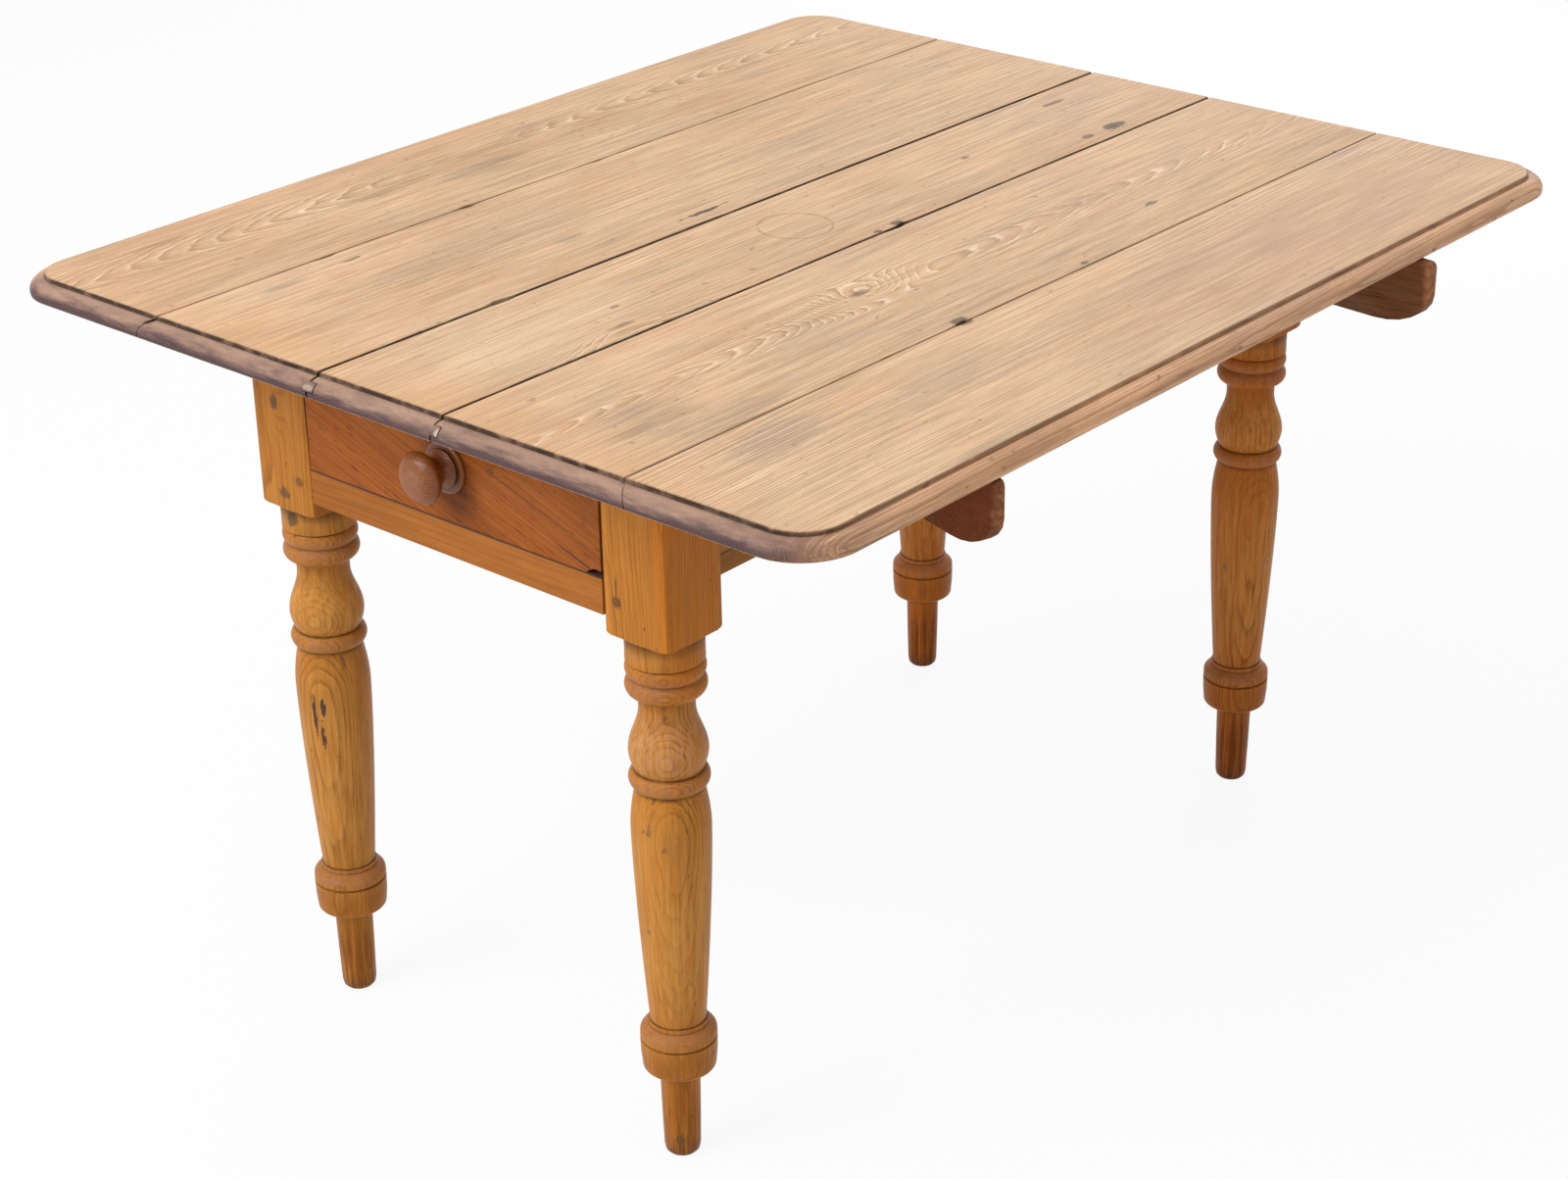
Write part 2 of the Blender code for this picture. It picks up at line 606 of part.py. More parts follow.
def leg(name, sx, sy):
    piece = turned(name, leg_profile(), "waxed_pine", None, (sx * LEG_X, sy * LEG_Y, 0))
    half = LEG_SQUARE / 2
    centre_x, centre_y = sx * LEG_X, sy * LEG_Y
    stock_low = (centre_x - half, centre_y - half, -CUT_MARGIN)
    stock = box(stock_low, (centre_x + half, centre_y + half, FRAME_TOP + CUT_MARGIN))
    combine(piece, helper(f"{name}_stock", stock), "INTERSECT")
    cut(piece, grown(*at_corner(*tenon_of_side_rail(), sx, sy), SEAT_GAP))
    cut(piece, grown(*at_corner(*END_TENONS[sy], sx, sy), SEAT_GAP))
    for z in PEG_HEIGHTS[sy]:
        start, end = peg_line(sx, sy, z)
        outside = (start[0], start[1] + sy * CUT_MARGIN, z)
        inside = (end[0], end[1] - sy * SEAT_GAP, z)
        cut(piece, rod(bmesh.new(), PEG_RADIUS + SEAT_GAP, outside, inside, 12))
    if sy < 0:
        notch_floor = UPPER_RAIL_BOTTOM - SEAT_GAP
        cut(piece, prism(upper_dovetail(sx, SEAT_GAP), "Z", notch_floor, FRAME_TOP + CUT_MARGIN))


for leg_side, leg_sx in (("left", -1), ("right", 1)):
    for leg_end, leg_sy in (("front", -1), ("back", 1)):
        leg(f"leg_{leg_end}_{leg_side}", leg_sx, leg_sy)


# Rails of the frame
def end_rail(name, low, high, sy):
    """A rail across one end, with its two tenons and their peg holes."""
    rail = part(name, box(low, high), "waxed_pine")
    for sx in (-1, 1):
        join(rail, box(*at_corner(*END_TENONS[sy], sx, sy)))
        for z in PEG_HEIGHTS[sy]:
            cut(rail, rod(bmesh.new(), PEG_RADIUS + SEAT_GAP, *peg_line(sx, sy, z), 12))


RAIL_END = LEG_INNER_X - SEAT_GAP
LOWER_RAIL_BACK = FRONT_FACE + LOWER_RAIL_DEPTH
UPPER_RAIL_BACK = FRONT_FACE + UPPER_RAIL_DEPTH
BACK_RAIL_FRONT = BACK_FACE - BACK_RAIL_THICKNESS
end_rail(
    "front_lower_rail",
    (-RAIL_END, FRONT_FACE, LOWER_RAIL_BOTTOM),
    (RAIL_END, LOWER_RAIL_BACK, LOWER_RAIL_TOP),
    -1,
)
end_rail("back_rail", (-RAIL_END, BACK_RAIL_FRONT, BACK_RAIL_BOTTOM), (RAIL_END, BACK_FACE, FRAME_TOP), 1)

right_tail = upper_dovetail(1, 0)
left_tail = upper_dovetail(-1, 0)
upper_outline = [(RAIL_END, FRONT_FACE), (RAIL_END, right_tail[0][1]), *right_tail[1:3]]
upper_outline += [(RAIL_END, right_tail[3][1]), (RAIL_END, UPPER_RAIL_BACK), (-RAIL_END, UPPER_RAIL_BACK)]
upper_outline += [(-RAIL_END, left_tail[3][1]), left_tail[2], left_tail[1], (-RAIL_END, left_tail[0][1])]
upper_outline.append((-RAIL_END, FRONT_FACE))
part("front_upper_rail", prism(upper_outline, "Z", UPPER_RAIL_BOTTOM, FRAME_TOP), "bare_pine")

for peg_end, peg_sy in (("front", -1), ("back", 1)):
    for peg_side, peg_sx in (("left", -1), ("right", 1)):
        for peg_number, peg_z in enumerate(PEG_HEIGHTS[peg_sy], 1):
            peg = rod(bmesh.new(), PEG_RADIUS, *peg_line(peg_sx, peg_sy, peg_z), 12)
            part(f"peg_{peg_end}_{peg_side}_{peg_number}", peg, "waxed_pine")


# Side rails, fly rails and brackets
def finger_levels(first):
    """Heights (low, high) of every second finger of a knuckle joint, counted from the top one."""
    levels = range(first, KNUCKLE_FINGERS, 2)
    return [(FRAME_TOP - (i + 1) * FINGER_HEIGHT, FRAME_TOP - i * FINGER_HEIGHT) for i in levels]


def shoulder(hand, turn, place, low, high):
    """Clears a finger's space: everything inside a bevel that just misses the knuckle's round."""
    reach = 2 * BRACKET_THICKNESS
    face = BRACKET_THICKNESS / 2 + RUNNING_GAP
    shape = box((-reach, -reach, low), (face, reach, high))
    bevel = math.radians(WIDEST_OPENING - 90)
    spin = Matrix.Translation((*place, 0)) @ Matrix.Rotation(turn - hand * bevel, 4, "Z")
    bmesh.ops.transform(shape, matrix=spin, verts=shape.verts)
    return shape


NOTCH_FLOOR = BRACKET_BOTTOM - RUNNING_GAP


def fly_rail(name, side):
    """Outer layer of the side rail: cut out for the brackets, with knuckles at both ends of the gap."""
    end = LEG_INNER_Y - SEAT_GAP
    low = (FLY_INNER, -end, FRAME_TOP - FLY_RAIL_DEPTH)
    rail = part(name, box(low, (FLY_OUTER, end, FRAME_TOP)), "waxed_pine", side)
    radius = BRACKET_THICKNESS / 2
    outline = [(FLY_INNER - CUT_MARGIN, BRACKET_NEAR), *arc((PIN_X, BRACKET_NEAR), radius, 180, 0, 8)]
    outline += [(FLY_OUTER + CUT_MARGIN, BRACKET_NEAR), (FLY_OUTER + CUT_MARGIN, BRACKET_FAR)]
    outline += [*arc((PIN_X, BRACKET_FAR), radius, 0, -180, 8), (FLY_INNER - CUT_MARGIN, BRACKET_FAR)]
    cut(rail, prism(outline, "Z", NOTCH_FLOOR, FRAME_TOP + CUT_MARGIN), side)
    for y, hand, turn in ((BRACKET_NEAR, 1, -math.pi / 2), (BRACKET_FAR, -1, math.pi / 2)):
        for low_z, high_z in finger_levels(0):
            floor = max(low_z - RUNNING_GAP / 2, NOTCH_FLOOR)
            roof = high_z + (CUT_MARGIN if high_z == FRAME_TOP else RUNNING_GAP / 2)
            cut(rail, shoulder(hand, turn, (PIN_X, y), floor, roof), side)
        hole_end = BRACKET_BOTTOM - BRACKET_PIN_TAIL - SEAT_GAP
        hole = BRACKET_PIN_RADIUS + SEAT_GAP
        cut(rail, rod(bmesh.new(), hole, (PIN_X, y, hole_end), (PIN_X, y, FRAME_TOP + CUT_MARGIN), 10), side)


def bracket(name, side, y, hand, heading):
    """A bracket on its pin; hand is 1 when it opens anticlockwise, and heading is where it points."""
    radius = BRACKET_THICKNESS / 2
    tip = BRACKET_LENGTH
    outline = [(-radius, BRACKET_BOTTOM), (tip - BRACKET_SWEEP, BRACKET_BOTTOM)]
    sweep_height = BRACKET_DEPTH - BRACKET_END_HEIGHT
    for i in range(1, 7):
        a = math.radians(15 * i)
        curve = (tip - BRACKET_SWEEP * (1 - math.sin(a)), BRACKET_BOTTOM + sweep_height * (1 - math.cos(a)))
        outline.append(curve)
    round_centre = (tip - BRACKET_TIP_ROUND, FRAME_TOP - BRACKET_TIP_ROUND)
    outline += [*arc(round_centre, BRACKET_TIP_ROUND, 0, 90, 3), (-radius, FRAME_TOP)]
    piece = part(name, prism(outline, "Y", -radius, radius), "dark_bracket", side)
    piece.location = (PIN_X, y, 0)
    piece.rotation_euler.z = heading
    past = radius + CUT_MARGIN
    nose = [*arc((0, 0), radius, 90, 270, 8), (0, -past), (-past, -past), (-past, past), (0, past)]
    cut(piece, prism(nose, "Z", BRACKET_BOTTOM - CUT_MARGIN, FRAME_TOP + CUT_MARGIN), piece)
    for low_z, high_z in finger_levels(1):
        cut(piece, shoulder(hand, 0, (0, 0), low_z - RUNNING_GAP / 2, high_z + RUNNING_GAP / 2), piece)
    hole = BRACKET_PIN_RADIUS + SEAT_GAP
    ends = ((0, 0, BRACKET_BOTTOM - CUT_MARGIN), (0, 0, FRAME_TOP + CUT_MARGIN))
    cut(piece, rod(bmesh.new(), hole, *ends, 10), piece)


def side_rails(name, open_near, open_far):
    """Everything along one side, with its brackets standing open by these angles."""
    side = SIDES[name]
    end = LEG_INNER_Y - SEAT_GAP
    rail_low = (SIDE_RAIL_INNER, -end, SIDE_RAIL_BOTTOM)
    rail = part(f"side_rail_{name}", box(rail_low, (SIDE_RAIL_OUTER, end, FRAME_TOP)), "waxed_pine", side)
    for sy in (-1, 1):
        join(rail, box(*at_corner(*tenon_of_side_rail(), 1, sy)), side)
    fly_rail(f"fly_rail_{name}", side)
    near_end, far_end = END_NAMES[name]
    bracket(f"bracket_{name}_{near_end}", side, BRACKET_NEAR, -1, math.radians(90 - open_near))
    bracket(f"bracket_{name}_{far_end}", side, BRACKET_FAR, 1, math.radians(open_far - 90))
    for y, end_name in ((BRACKET_NEAR, near_end), (BRACKET_FAR, far_end)):
        foot = (PIN_X, y, BRACKET_BOTTOM - BRACKET_PIN_TAIL)
        pin = rod(bmesh.new(), BRACKET_PIN_RADIUS, foot, (PIN_X, y, FRAME_TOP), 10)
        part(f"bracket_pin_{name}_{end_name}", pin, "old_iron", side, (PIN_X, y, FRAME_TOP))


side_rails("right", OPEN_NEAR, OPEN_FAR)
side_rails("left", 0, 0)


# Drawer
DRAWER_HALF = LEG_INNER_X - DRAWER_SIDE_GAP
DRAWER_BASE = LOWER_RAIL_TOP + SEAT_GAP
FRONT_BACK = FRONT_FACE + DRAWER_FRONT_THICKNESS
DRAWER_END = FRONT_FACE + DRAWER_LENGTH
BOTTOM_LOW = DRAWER_BASE + DRAWER_BOTTOM_RISE
BOTTOM_HIGH = BOTTOM_LOW + DRAWER_BOTTOM_THICKNESS
BOTTOM_HALF = DRAWER_HALF - DRAWER_BOARD + DRAWER_GROOVE - SEAT_GAP
KNOB_HEIGHT = (LOWER_RAIL_TOP + UPPER_RAIL_BOTTOM) / 2
DRAWER = group_empty("drawer")
DRAWER.location = (0, FRONT_FACE, KNOB_HEIGHT)


def tail_middle(i):
    return DRAWER_BASE + DRAWER_SIDE_HEIGHT * (i + 0.5) / DOVETAIL_COUNT


def tail_half(y):
    """Half the height of a dovetail at this depth: it widens from its root to its tip."""
    return DOVETAIL_WIDTH / 2 + DOVETAIL_FLARE * (FRONT_BACK - y) / DOVETAIL_LENGTH


def drawer_front():
    low = (-DRAWER_HALF, FRONT_FACE, DRAWER_BASE)
    high = (DRAWER_HALF, FRONT_BACK, UPPER_RAIL_BOTTOM - DRAWER_TOP_GAP)
    front = part("drawer_front", box(low, high), "red_pine", DRAWER)
    tip = FRONT_BACK - DOVETAIL_LENGTH - SEAT_GAP
    mouth = FRONT_BACK + CUT_MARGIN
    inner = DRAWER_HALF - DRAWER_BOARD - SEAT_GAP
    outer = DRAWER_HALF + CUT_MARGIN
    for i in range(DOVETAIL_COUNT):
        z = tail_middle(i)
        at_tip = tail_half(tip) + SEAT_GAP
        at_mouth = tail_half(mouth) + SEAT_GAP
        socket = [(tip, z - at_tip), (mouth, z - at_mouth), (mouth, z + at_mouth), (tip, z + at_tip)]
        cut(front, prism(socket, "X", inner, outer))
        cut(front, prism(socket, "X", -outer, -inner))
    room = BOTTOM_HALF + SEAT_GAP
    groove_back = FRONT_BACK - DRAWER_GROOVE
    cut(front, box((-room, groove_back, BOTTOM_LOW - SEAT_GAP), (room, mouth, BOTTOM_HIGH + SEAT_GAP)))
    edge = DRAWER_HALF - CHIP_LENGTH
    below = DRAWER_BASE - CUT_MARGIN
    chip = [(outer, below), (edge, below), (edge, DRAWER_BASE + CHIP_HEIGHT / 3)]
    chip += [(DRAWER_HALF - CHIP_LENGTH / 2, DRAWER_BASE + CHIP_HEIGHT)]
    chip += [(outer, DRAWER_BASE + CHIP_HEIGHT * 0.7)]
    cut(front, prism(chip, "Y", FRONT_FACE - CUT_MARGIN, tip + CUT_MARGIN))
    hole = KNOB_STEM_RADIUS + SEAT_GAP
    hole_ends = ((0, FRONT_FACE - CUT_MARGIN, KNOB_HEIGHT), (0, mouth, KNOB_HEIGHT))
    cut(front, rod(bmesh.new(), hole, *hole_ends, TURNING_STEPS))


def drawer_side(name, sx):
    tip = FRONT_BACK - DOVETAIL_LENGTH
    root = FRONT_BACK + SEAT_GAP
    past = tip - CUT_MARGIN
    inner = DRAWER_HALF - DRAWER_BOARD
    top = DRAWER_BASE + DRAWER_SIDE_HEIGHT
    xs = sorted((sx * inner, sx * DRAWER_HALF))
    side = part(name, box((xs[0], tip, DRAWER_BASE), (xs[1], DRAWER_END, top)), "bare_pine", DRAWER)
    low_edge = [(root, DRAWER_BASE - CUT_MARGIN), (past, DRAWER_BASE - CUT_MARGIN)]
    for i in range(DOVETAIL_COUNT + 1):
        if i < DOVETAIL_COUNT:
            z = tail_middle(i)
            high_edge = [(past, z - tail_half(past)), (root, z - tail_half(root))]
        else:
            high_edge = [(past, top + CUT_MARGIN), (root, top + CUT_MARGIN)]
        cut(side, prism(low_edge + high_edge, "X", xs[0] - CUT_MARGIN, xs[1] + CUT_MARGIN))
        low_edge = [(root, z + tail_half(root)), (past, z + tail_half(past))]
    groove_x = sorted((sx * (inner - CUT_MARGIN), sx * (inner + DRAWER_GROOVE)))
    groove_low = (groove_x[0], FRONT_BACK - DRAWER_GROOVE, BOTTOM_LOW - SEAT_GAP)
    cut(side, box(groove_low, (groove_x[1], DRAWER_END + CUT_MARGIN, BOTTOM_HIGH + SEAT_GAP)))


drawer_front()
drawer_side("drawer_side_left", -1)
drawer_side("drawer_side_right", 1)
bottom_low = (-BOTTOM_HALF, FRONT_BACK - DRAWER_GROOVE + SEAT_GAP, BOTTOM_LOW)
part("drawer_bottom", box(bottom_low, (BOTTOM_HALF, DRAWER_END, BOTTOM_HIGH)), "bare_pine", DRAWER)
back_half = DRAWER_HALF - DRAWER_BOARD - SEAT_GAP
back_low = (-back_half, DRAWER_END - DRAWER_BOARD, BOTTOM_HIGH + SEAT_GAP)
back_high = (back_half, DRAWER_END, DRAWER_BASE + DRAWER_BACK_HEIGHT)
part("drawer_back", box(back_low, back_high), "bare_pine", DRAWER)


def knob_profile():
    """Mushroom knob on a moulded flange, from its face back to the end of its stem."""
    flange_top = SEAT_GAP + KNOB_FLANGE_THICKNESS
    neck_end = flange_top + KNOB_NECK_LENGTH
    face = neck_end + KNOB_HEAD_THICKNESS
    rim = neck_end + KNOB_HEAD_THICKNESS * 0.55
    crown = (KNOB_HEAD_RADIUS * 0.7, face - 0.2 * (face - rim))
    profile = [(0, face), *stretch((0, face), crown, 2, lambda t: t)]
    profile += stretch(profile[-1], (KNOB_HEAD_RADIUS, rim), 3, swelling_out)
    profile += stretch(profile[-1], (KNOB_NECK_RADIUS, neck_end), 4, falling_in)
    profile.append((KNOB_NECK_RADIUS, neck_end - KNOB_NECK_LENGTH / 2))
    step = (KNOB_STEP_RADIUS, flange_top + KNOB_FLANGE_THICKNESS / 2)
    profile += stretch(profile[-1], step, 3, falling_in)
    profile += [(KNOB_STEP_RADIUS, flange_top), (KNOB_FLANGE_RADIUS - KNOB_FLANGE_THICKNESS / 3, flange_top)]
    profile += [(KNOB_FLANGE_RADIUS, flange_top - KNOB_FLANGE_THICKNESS / 3), (KNOB_FLANGE_RADIUS, SEAT_GAP)]
    stem_end = -DRAWER_FRONT_THICKNESS
    profile += [(KNOB_STEM_RADIUS, SEAT_GAP), (KNOB_STEM_RADIUS, stem_end), (0, stem_end)]
    return profile


knob = turned("drawer_knob", knob_profile(), "knob_brown", DRAWER, (0, FRONT_FACE, KNOB_HEIGHT))
knob.rotation_euler.x = math.pi / 2

# What the drawer runs on, and the blocks that hold the top
between_legs = LEG_INNER_Y - SEAT_GAP
runner_inner = SIDE_RAIL_INNER - SEAT_GAP - RUNNER_WIDTH
runner_outer = SIDE_RAIL_INNER - SEAT_GAP
runner_front = LOWER_RAIL_BACK + SEAT_GAP
runner_back = BACK_RAIL_FRONT - SEAT_GAP
runner_outline = [(runner_inner, runner_front), (RAIL_END, runner_front), (RAIL_END, -between_legs)]
runner_outline += [(runner_outer, -between_legs), (runner_outer, between_legs), (RAIL_END, between_legs)]
runner_outline += [(RAIL_END, runner_back), (runner_inner, runner_back)]
for hand_name, hand_sign in (("left", -1), ("right", 1)):
    plan = [(hand_sign * x, y) for x, y in runner_outline]
    runner = prism(plan, "Z", LOWER_RAIL_TOP - RUNNER_THICKNESS, LOWER_RAIL_TOP)
    part(f"drawer_runner_{hand_name}", runner, "bare_pine")
    guide_x = sorted((hand_sign * LEG_INNER_X, hand_sign * runner_outer))
    guide_low = (guide_x[0], -between_legs, DRAWER_BASE)
    guide = box(guide_low, (guide_x[1], between_legs, DRAWER_BASE + GUIDE_HEIGHT))
    part(f"drawer_guide_{hand_name}", guide, "bare_pine")
    kicker_x = sorted((hand_sign * RAIL_END, hand_sign * (RAIL_END - KICKER_WIDTH)))
    kicker_low = (kicker_x[0], UPPER_RAIL_BACK + SEAT_GAP, UPPER_RAIL_BOTTOM)
    part(f"drawer_kicker_{hand_name}", box(kicker_low, (kicker_x[1], runner_back, FRAME_TOP)), "bare_pine")
    stop_x = hand_sign * STOP_SPREAD
    stop_low = (stop_x - STOP_LENGTH / 2, FRONT_BACK + SEAT_GAP, DRAWER_BASE)
    stop_high = (stop_x + STOP_LENGTH / 2, FRONT_BACK + SEAT_GAP + STOP_DEPTH, DRAWER_BASE + STOP_HEIGHT)
    part(f"drawer_stop_{hand_name}", box(stop_low, stop_high), "bare_pine")
    face_x = hand_sign * runner_outer
    corner = [(face_x, FRAME_TOP), (face_x - hand_sign * GLUE_BLOCK, FRAME_TOP)]
    corner.append((face_x, FRAME_TOP - GLUE_BLOCK))
    block = prism(corner, "Y", -GLUE_BLOCK_LENGTH / 2, GLUE_BLOCK_LENGTH / 2)
    part(f"glue_block_{hand_name}", block, "bare_pine")
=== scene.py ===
"""Looks of the pine drop-leaf kitchen table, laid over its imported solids."""

import math

import bmesh
import bpy
from mathutils import Matrix, Vector, noise


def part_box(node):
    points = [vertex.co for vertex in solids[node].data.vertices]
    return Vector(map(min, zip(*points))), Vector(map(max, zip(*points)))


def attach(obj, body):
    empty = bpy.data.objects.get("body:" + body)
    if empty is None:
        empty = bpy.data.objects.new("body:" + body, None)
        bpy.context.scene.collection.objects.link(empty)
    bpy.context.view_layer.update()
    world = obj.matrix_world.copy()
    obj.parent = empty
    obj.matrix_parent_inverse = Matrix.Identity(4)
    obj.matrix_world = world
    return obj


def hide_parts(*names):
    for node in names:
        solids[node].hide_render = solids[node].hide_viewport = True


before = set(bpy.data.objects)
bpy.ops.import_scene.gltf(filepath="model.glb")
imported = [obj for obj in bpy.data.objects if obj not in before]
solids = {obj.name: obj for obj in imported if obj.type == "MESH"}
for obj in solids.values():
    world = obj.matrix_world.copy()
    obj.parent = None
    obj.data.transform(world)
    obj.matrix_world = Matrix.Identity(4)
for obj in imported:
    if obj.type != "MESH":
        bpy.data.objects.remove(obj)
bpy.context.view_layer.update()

# The three fixed boards are scrubbed pine, tongued and grooved, and have shrunk apart at the seams.
# A thumb moulding was planed round the whole top, so the blank is shaped first and then cut into
# boards. The long grain lies bare and dry; the cut ends have gone mauve and grey, and are painted
# darker towards the foot of the moulding and lighter at its top, painted shade and light.
middle_low, middle_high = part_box("top_board_middle")
HALF_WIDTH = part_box("leaf_right")[1].x
HALF_LENGTH = middle_high.y
TOP = middle_high.z
UNDER = middle_low.z
MID_THICKNESS = (TOP + UNDER) / 2
CORNER = 0.058
THUMB = 0.016
THUMB_DEPTH = 0.012
FILLET_FOOT = TOP - 0.004
UNDER_ROUND = 0.003
NOSE = FILLET_FOOT - THUMB_DEPTH
pin_low, pin_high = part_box("hinge_pin_right_front")
HINGE_X = (pin_low.x + pin_high.x) / 2
HINGE_Z = (pin_low.z + pin_high.z) / 2
RULE_RADIUS = 0.013
RULE_GAP = 0.001
SEAM_LEFT, SEAM_LEFT_GAP = -0.075, 0.003
SEAM_RIGHT, SEAM_RIGHT_GAP = 0.085, 0.0022
TONGUE_THICKNESS = 0.007
TONGUE_REACH = 0.009
TONGUE_ROOM = 0.0008
PAST_EDGE = 0.015


def plan_of_top(inset, z, corner_steps=14, point_spacing=0.022):
    """Outline of the top drawn in by the inset, with points close enough for dents to show."""
    corner_x, corner_y = HALF_WIDTH - CORNER, HALF_LENGTH - CORNER
    corners = [(corner_x, corner_y), (-corner_x, corner_y), (-corner_x, -corner_y), (corner_x, -corner_y)]
    outline = []
    for quarter, centre in enumerate(corners):
        turns = [math.pi / 2 * (quarter + i / corner_steps) for i in range(corner_steps + 1)]
        spokes = [Vector((math.cos(t), math.sin(t), 0)) * (CORNER - inset) for t in turns]
        outline += [Vector((*centre, z)) + spoke for spoke in spokes]
        start = outline[-1]
        end = Vector((*corners[(quarter + 1) % 4], z)) + spokes[-1]
        count = round((end - start).length / point_spacing)
        outline += [start.lerp(end, i / count) for i in range(1, count)]
    return outline


def inside_plan(point):
    """How far a point lies inside the outline of the top, and how squarely it faces an end of it."""
    x = abs(point.x) - (HALF_WIDTH - CORNER)
    y = abs(point.y) - (HALF_LENGTH - CORNER)
    if x > 0 and y > 0:
        return CORNER - math.hypot(x, y), math.atan2(y, x) / (math.pi / 2)
    return CORNER - max(x, y), 1.0 if y > x else 0.0


def mesh_of(shape, name, crease):
    """A mesh of the shape, smooth but for edges sharper than the crease in degrees."""
    bmesh.ops.recalc_face_normals(shape, faces=shape.faces)
    mesh = bpy.data.meshes.new(name)
    shape.to_mesh(mesh)
    shape.free()
    mesh.shade_smooth()
    mesh.set_sharp_from_angle(angle=math.radians(crease))
    return mesh


def placed(name, data):
    """A new object in the scene."""
    made = bpy.data.objects.new(name, data)
    bpy.context.scene.collection.objects.link(made)
    return made


def loft(shape, rings):
    """Closes a skin over rings that have the same number of points, with a cap at each end."""
    for near, far in zip(rings, rings[1:]):
        for i in range(len(near)):
            shape.faces.new((near[i - 1], near[i], far[i], far[i - 1]))
    shape.faces.new(rings[0])
    shape.faces.new(rings[-1])


FINE_DENT, BROAD_DENT = 0.0004, 0.0006
DENT_PROUD = 0.0001  # how far the wood swells beside a dent
CREASE = 30  # degrees; edges sharper than this stay crisp


def moulded_blank():
    """The whole top before it is cut: thumb moulding with its dents, upright fillet and flat."""
    turns = [math.pi / 2 * i / 3 for i in range(3)]
    under = [(UNDER_ROUND * (1 - math.sin(t)), UNDER + UNDER_ROUND * (1 - math.cos(t))) for t in turns]
    turns = [math.pi / 2 * i / 12 for i in range(13)]
    thumb = [(THUMB * (1 - math.cos(t)), NOSE + THUMB_DEPTH * math.sin(t)) for t in turns]
    fillet = [(THUMB + 0.0001, FILLET_FOOT + 0.0015), (THUMB + 0.0003, TOP - 0.0007)]
    flat = [(THUMB + 0.0012, TOP), (THUMB + 0.0025, TOP)]
    shape = bmesh.new()
    rings = []
    for inset, z in under + thumb + fillet + flat:
        ring = []
        for point in plan_of_top(inset, z):
            dent = noise.noise(point * 38) * FINE_DENT + noise.noise(point * 9) * BROAD_DENT
            inward = Vector((-point.x, -point.y, 0)).normalized()
            ring.append(shape.verts.new(point + inward * max(dent, -DENT_PROUD)))
        rings.append(ring)
    loft(shape, rings)
    return placed("moulded_blank", mesh_of(shape, "moulded_blank", CREASE))


def worn_arris(x, way):
    """Top of a board's edge, worn round; way is 1 where the board lies to the right of it."""
    drops = ((0.0016, -PAST_EDGE), (0.0014, 0.0), (0.0006, 0.0003), (0.0001, 0.0009))
    return [(x + way * across, TOP - down) for across, down in drops]


def seam_edge(x, way, reach, height):
    """Edge of a fixed board at a seam, with its tongue or groove in mid thickness."""
    low, high = MID_THICKNESS - height / 2, MID_THICKNESS + height / 2
    joint = [(x, high), (x + reach, high), (x + reach, low), (x, low)]
    return [*worn_arris(x, way), *joint, (x, UNDER - PAST_EDGE)]


def tongue(seam, gap):
    return seam_edge(seam - gap / 2, -1, TONGUE_REACH, TONGUE_THICKNESS)


def groove(seam, gap):
    reach = TONGUE_REACH - gap + 2 * TONGUE_ROOM
    return seam_edge(seam + gap / 2, 1, reach, TONGUE_THICKNESS + 2 * TONGUE_ROOM)


def about_hinge(radius, start, end, steps=12):
    turns = [math.radians(start + (end - start) * i / steps) for i in range(steps + 1)]
    return [(HINGE_X + radius * math.cos(t), HINGE_Z + radius * math.sin(t)) for t in turns]


def rule_round():
    """Edge of the fixed top at the hinge line: an upright step, then a round about the pin."""
    lowest = -math.degrees(math.asin((HINGE_Z - UNDER) / RULE_RADIUS))
    curve = about_hinge(RULE_RADIUS, 90, lowest)
    return [*worn_arris(HINGE_X, -1), *curve, (curve[-1][0], UNDER - PAST_EDGE)]


def other_side(edge):
    return [(-x, z) for x, z in edge]


PLATE_THICKNESS = 0.0018
PLATE_ROOM = 0.0003
BED_FLOOR = UNDER + PLATE_THICKNESS + 2 * PLATE_ROOM
KNUCKLE_ROOM = 0.0036
LIFT_ROOM = 0.0008  # for the plate of a leaf that is lifted off its brackets


def top_bed():
    """Section of the bed for a hinge under the fixed top: a flat for the plates, room for the knuckle."""
    plate_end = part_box("hinge_top_plate_right_front")[0].x - PLATE_ROOM
    past_round = HINGE_X + RULE_RADIUS + RULE_GAP
    below, roof = UNDER - PAST_EDGE, HINGE_Z + KNUCKLE_ROOM
    inner, outer = HINGE_X - KNUCKLE_ROOM, HINGE_X + KNUCKLE_ROOM
    lifted = BED_FLOOR + LIFT_ROOM
    knuckle = [(inner, BED_FLOOR), (inner, roof), (outer, roof), (outer, lifted)]
    outside = [(past_round, lifted), (past_round, below)]
    return [(plate_end, below), (plate_end, BED_FLOOR), *knuckle, *outside]


blank = moulded_blank()


def hinge_cutter(side, bed):
    """The two beds cut for the hinges of one side."""
    shape = bmesh.new()
    for end in ("front", "back"):
        low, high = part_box(f"hinge_pin_{side}_{end}")
        rings = []
        for y in (low.y - PLATE_ROOM, high.y + PLATE_ROOM):
            rings.append([shape.verts.new((x, y, z)) for x, z in bed])
        loft(shape, rings)
    return placed("hinge_cutter", mesh_of(shape, "hinge_cutter", CREASE))


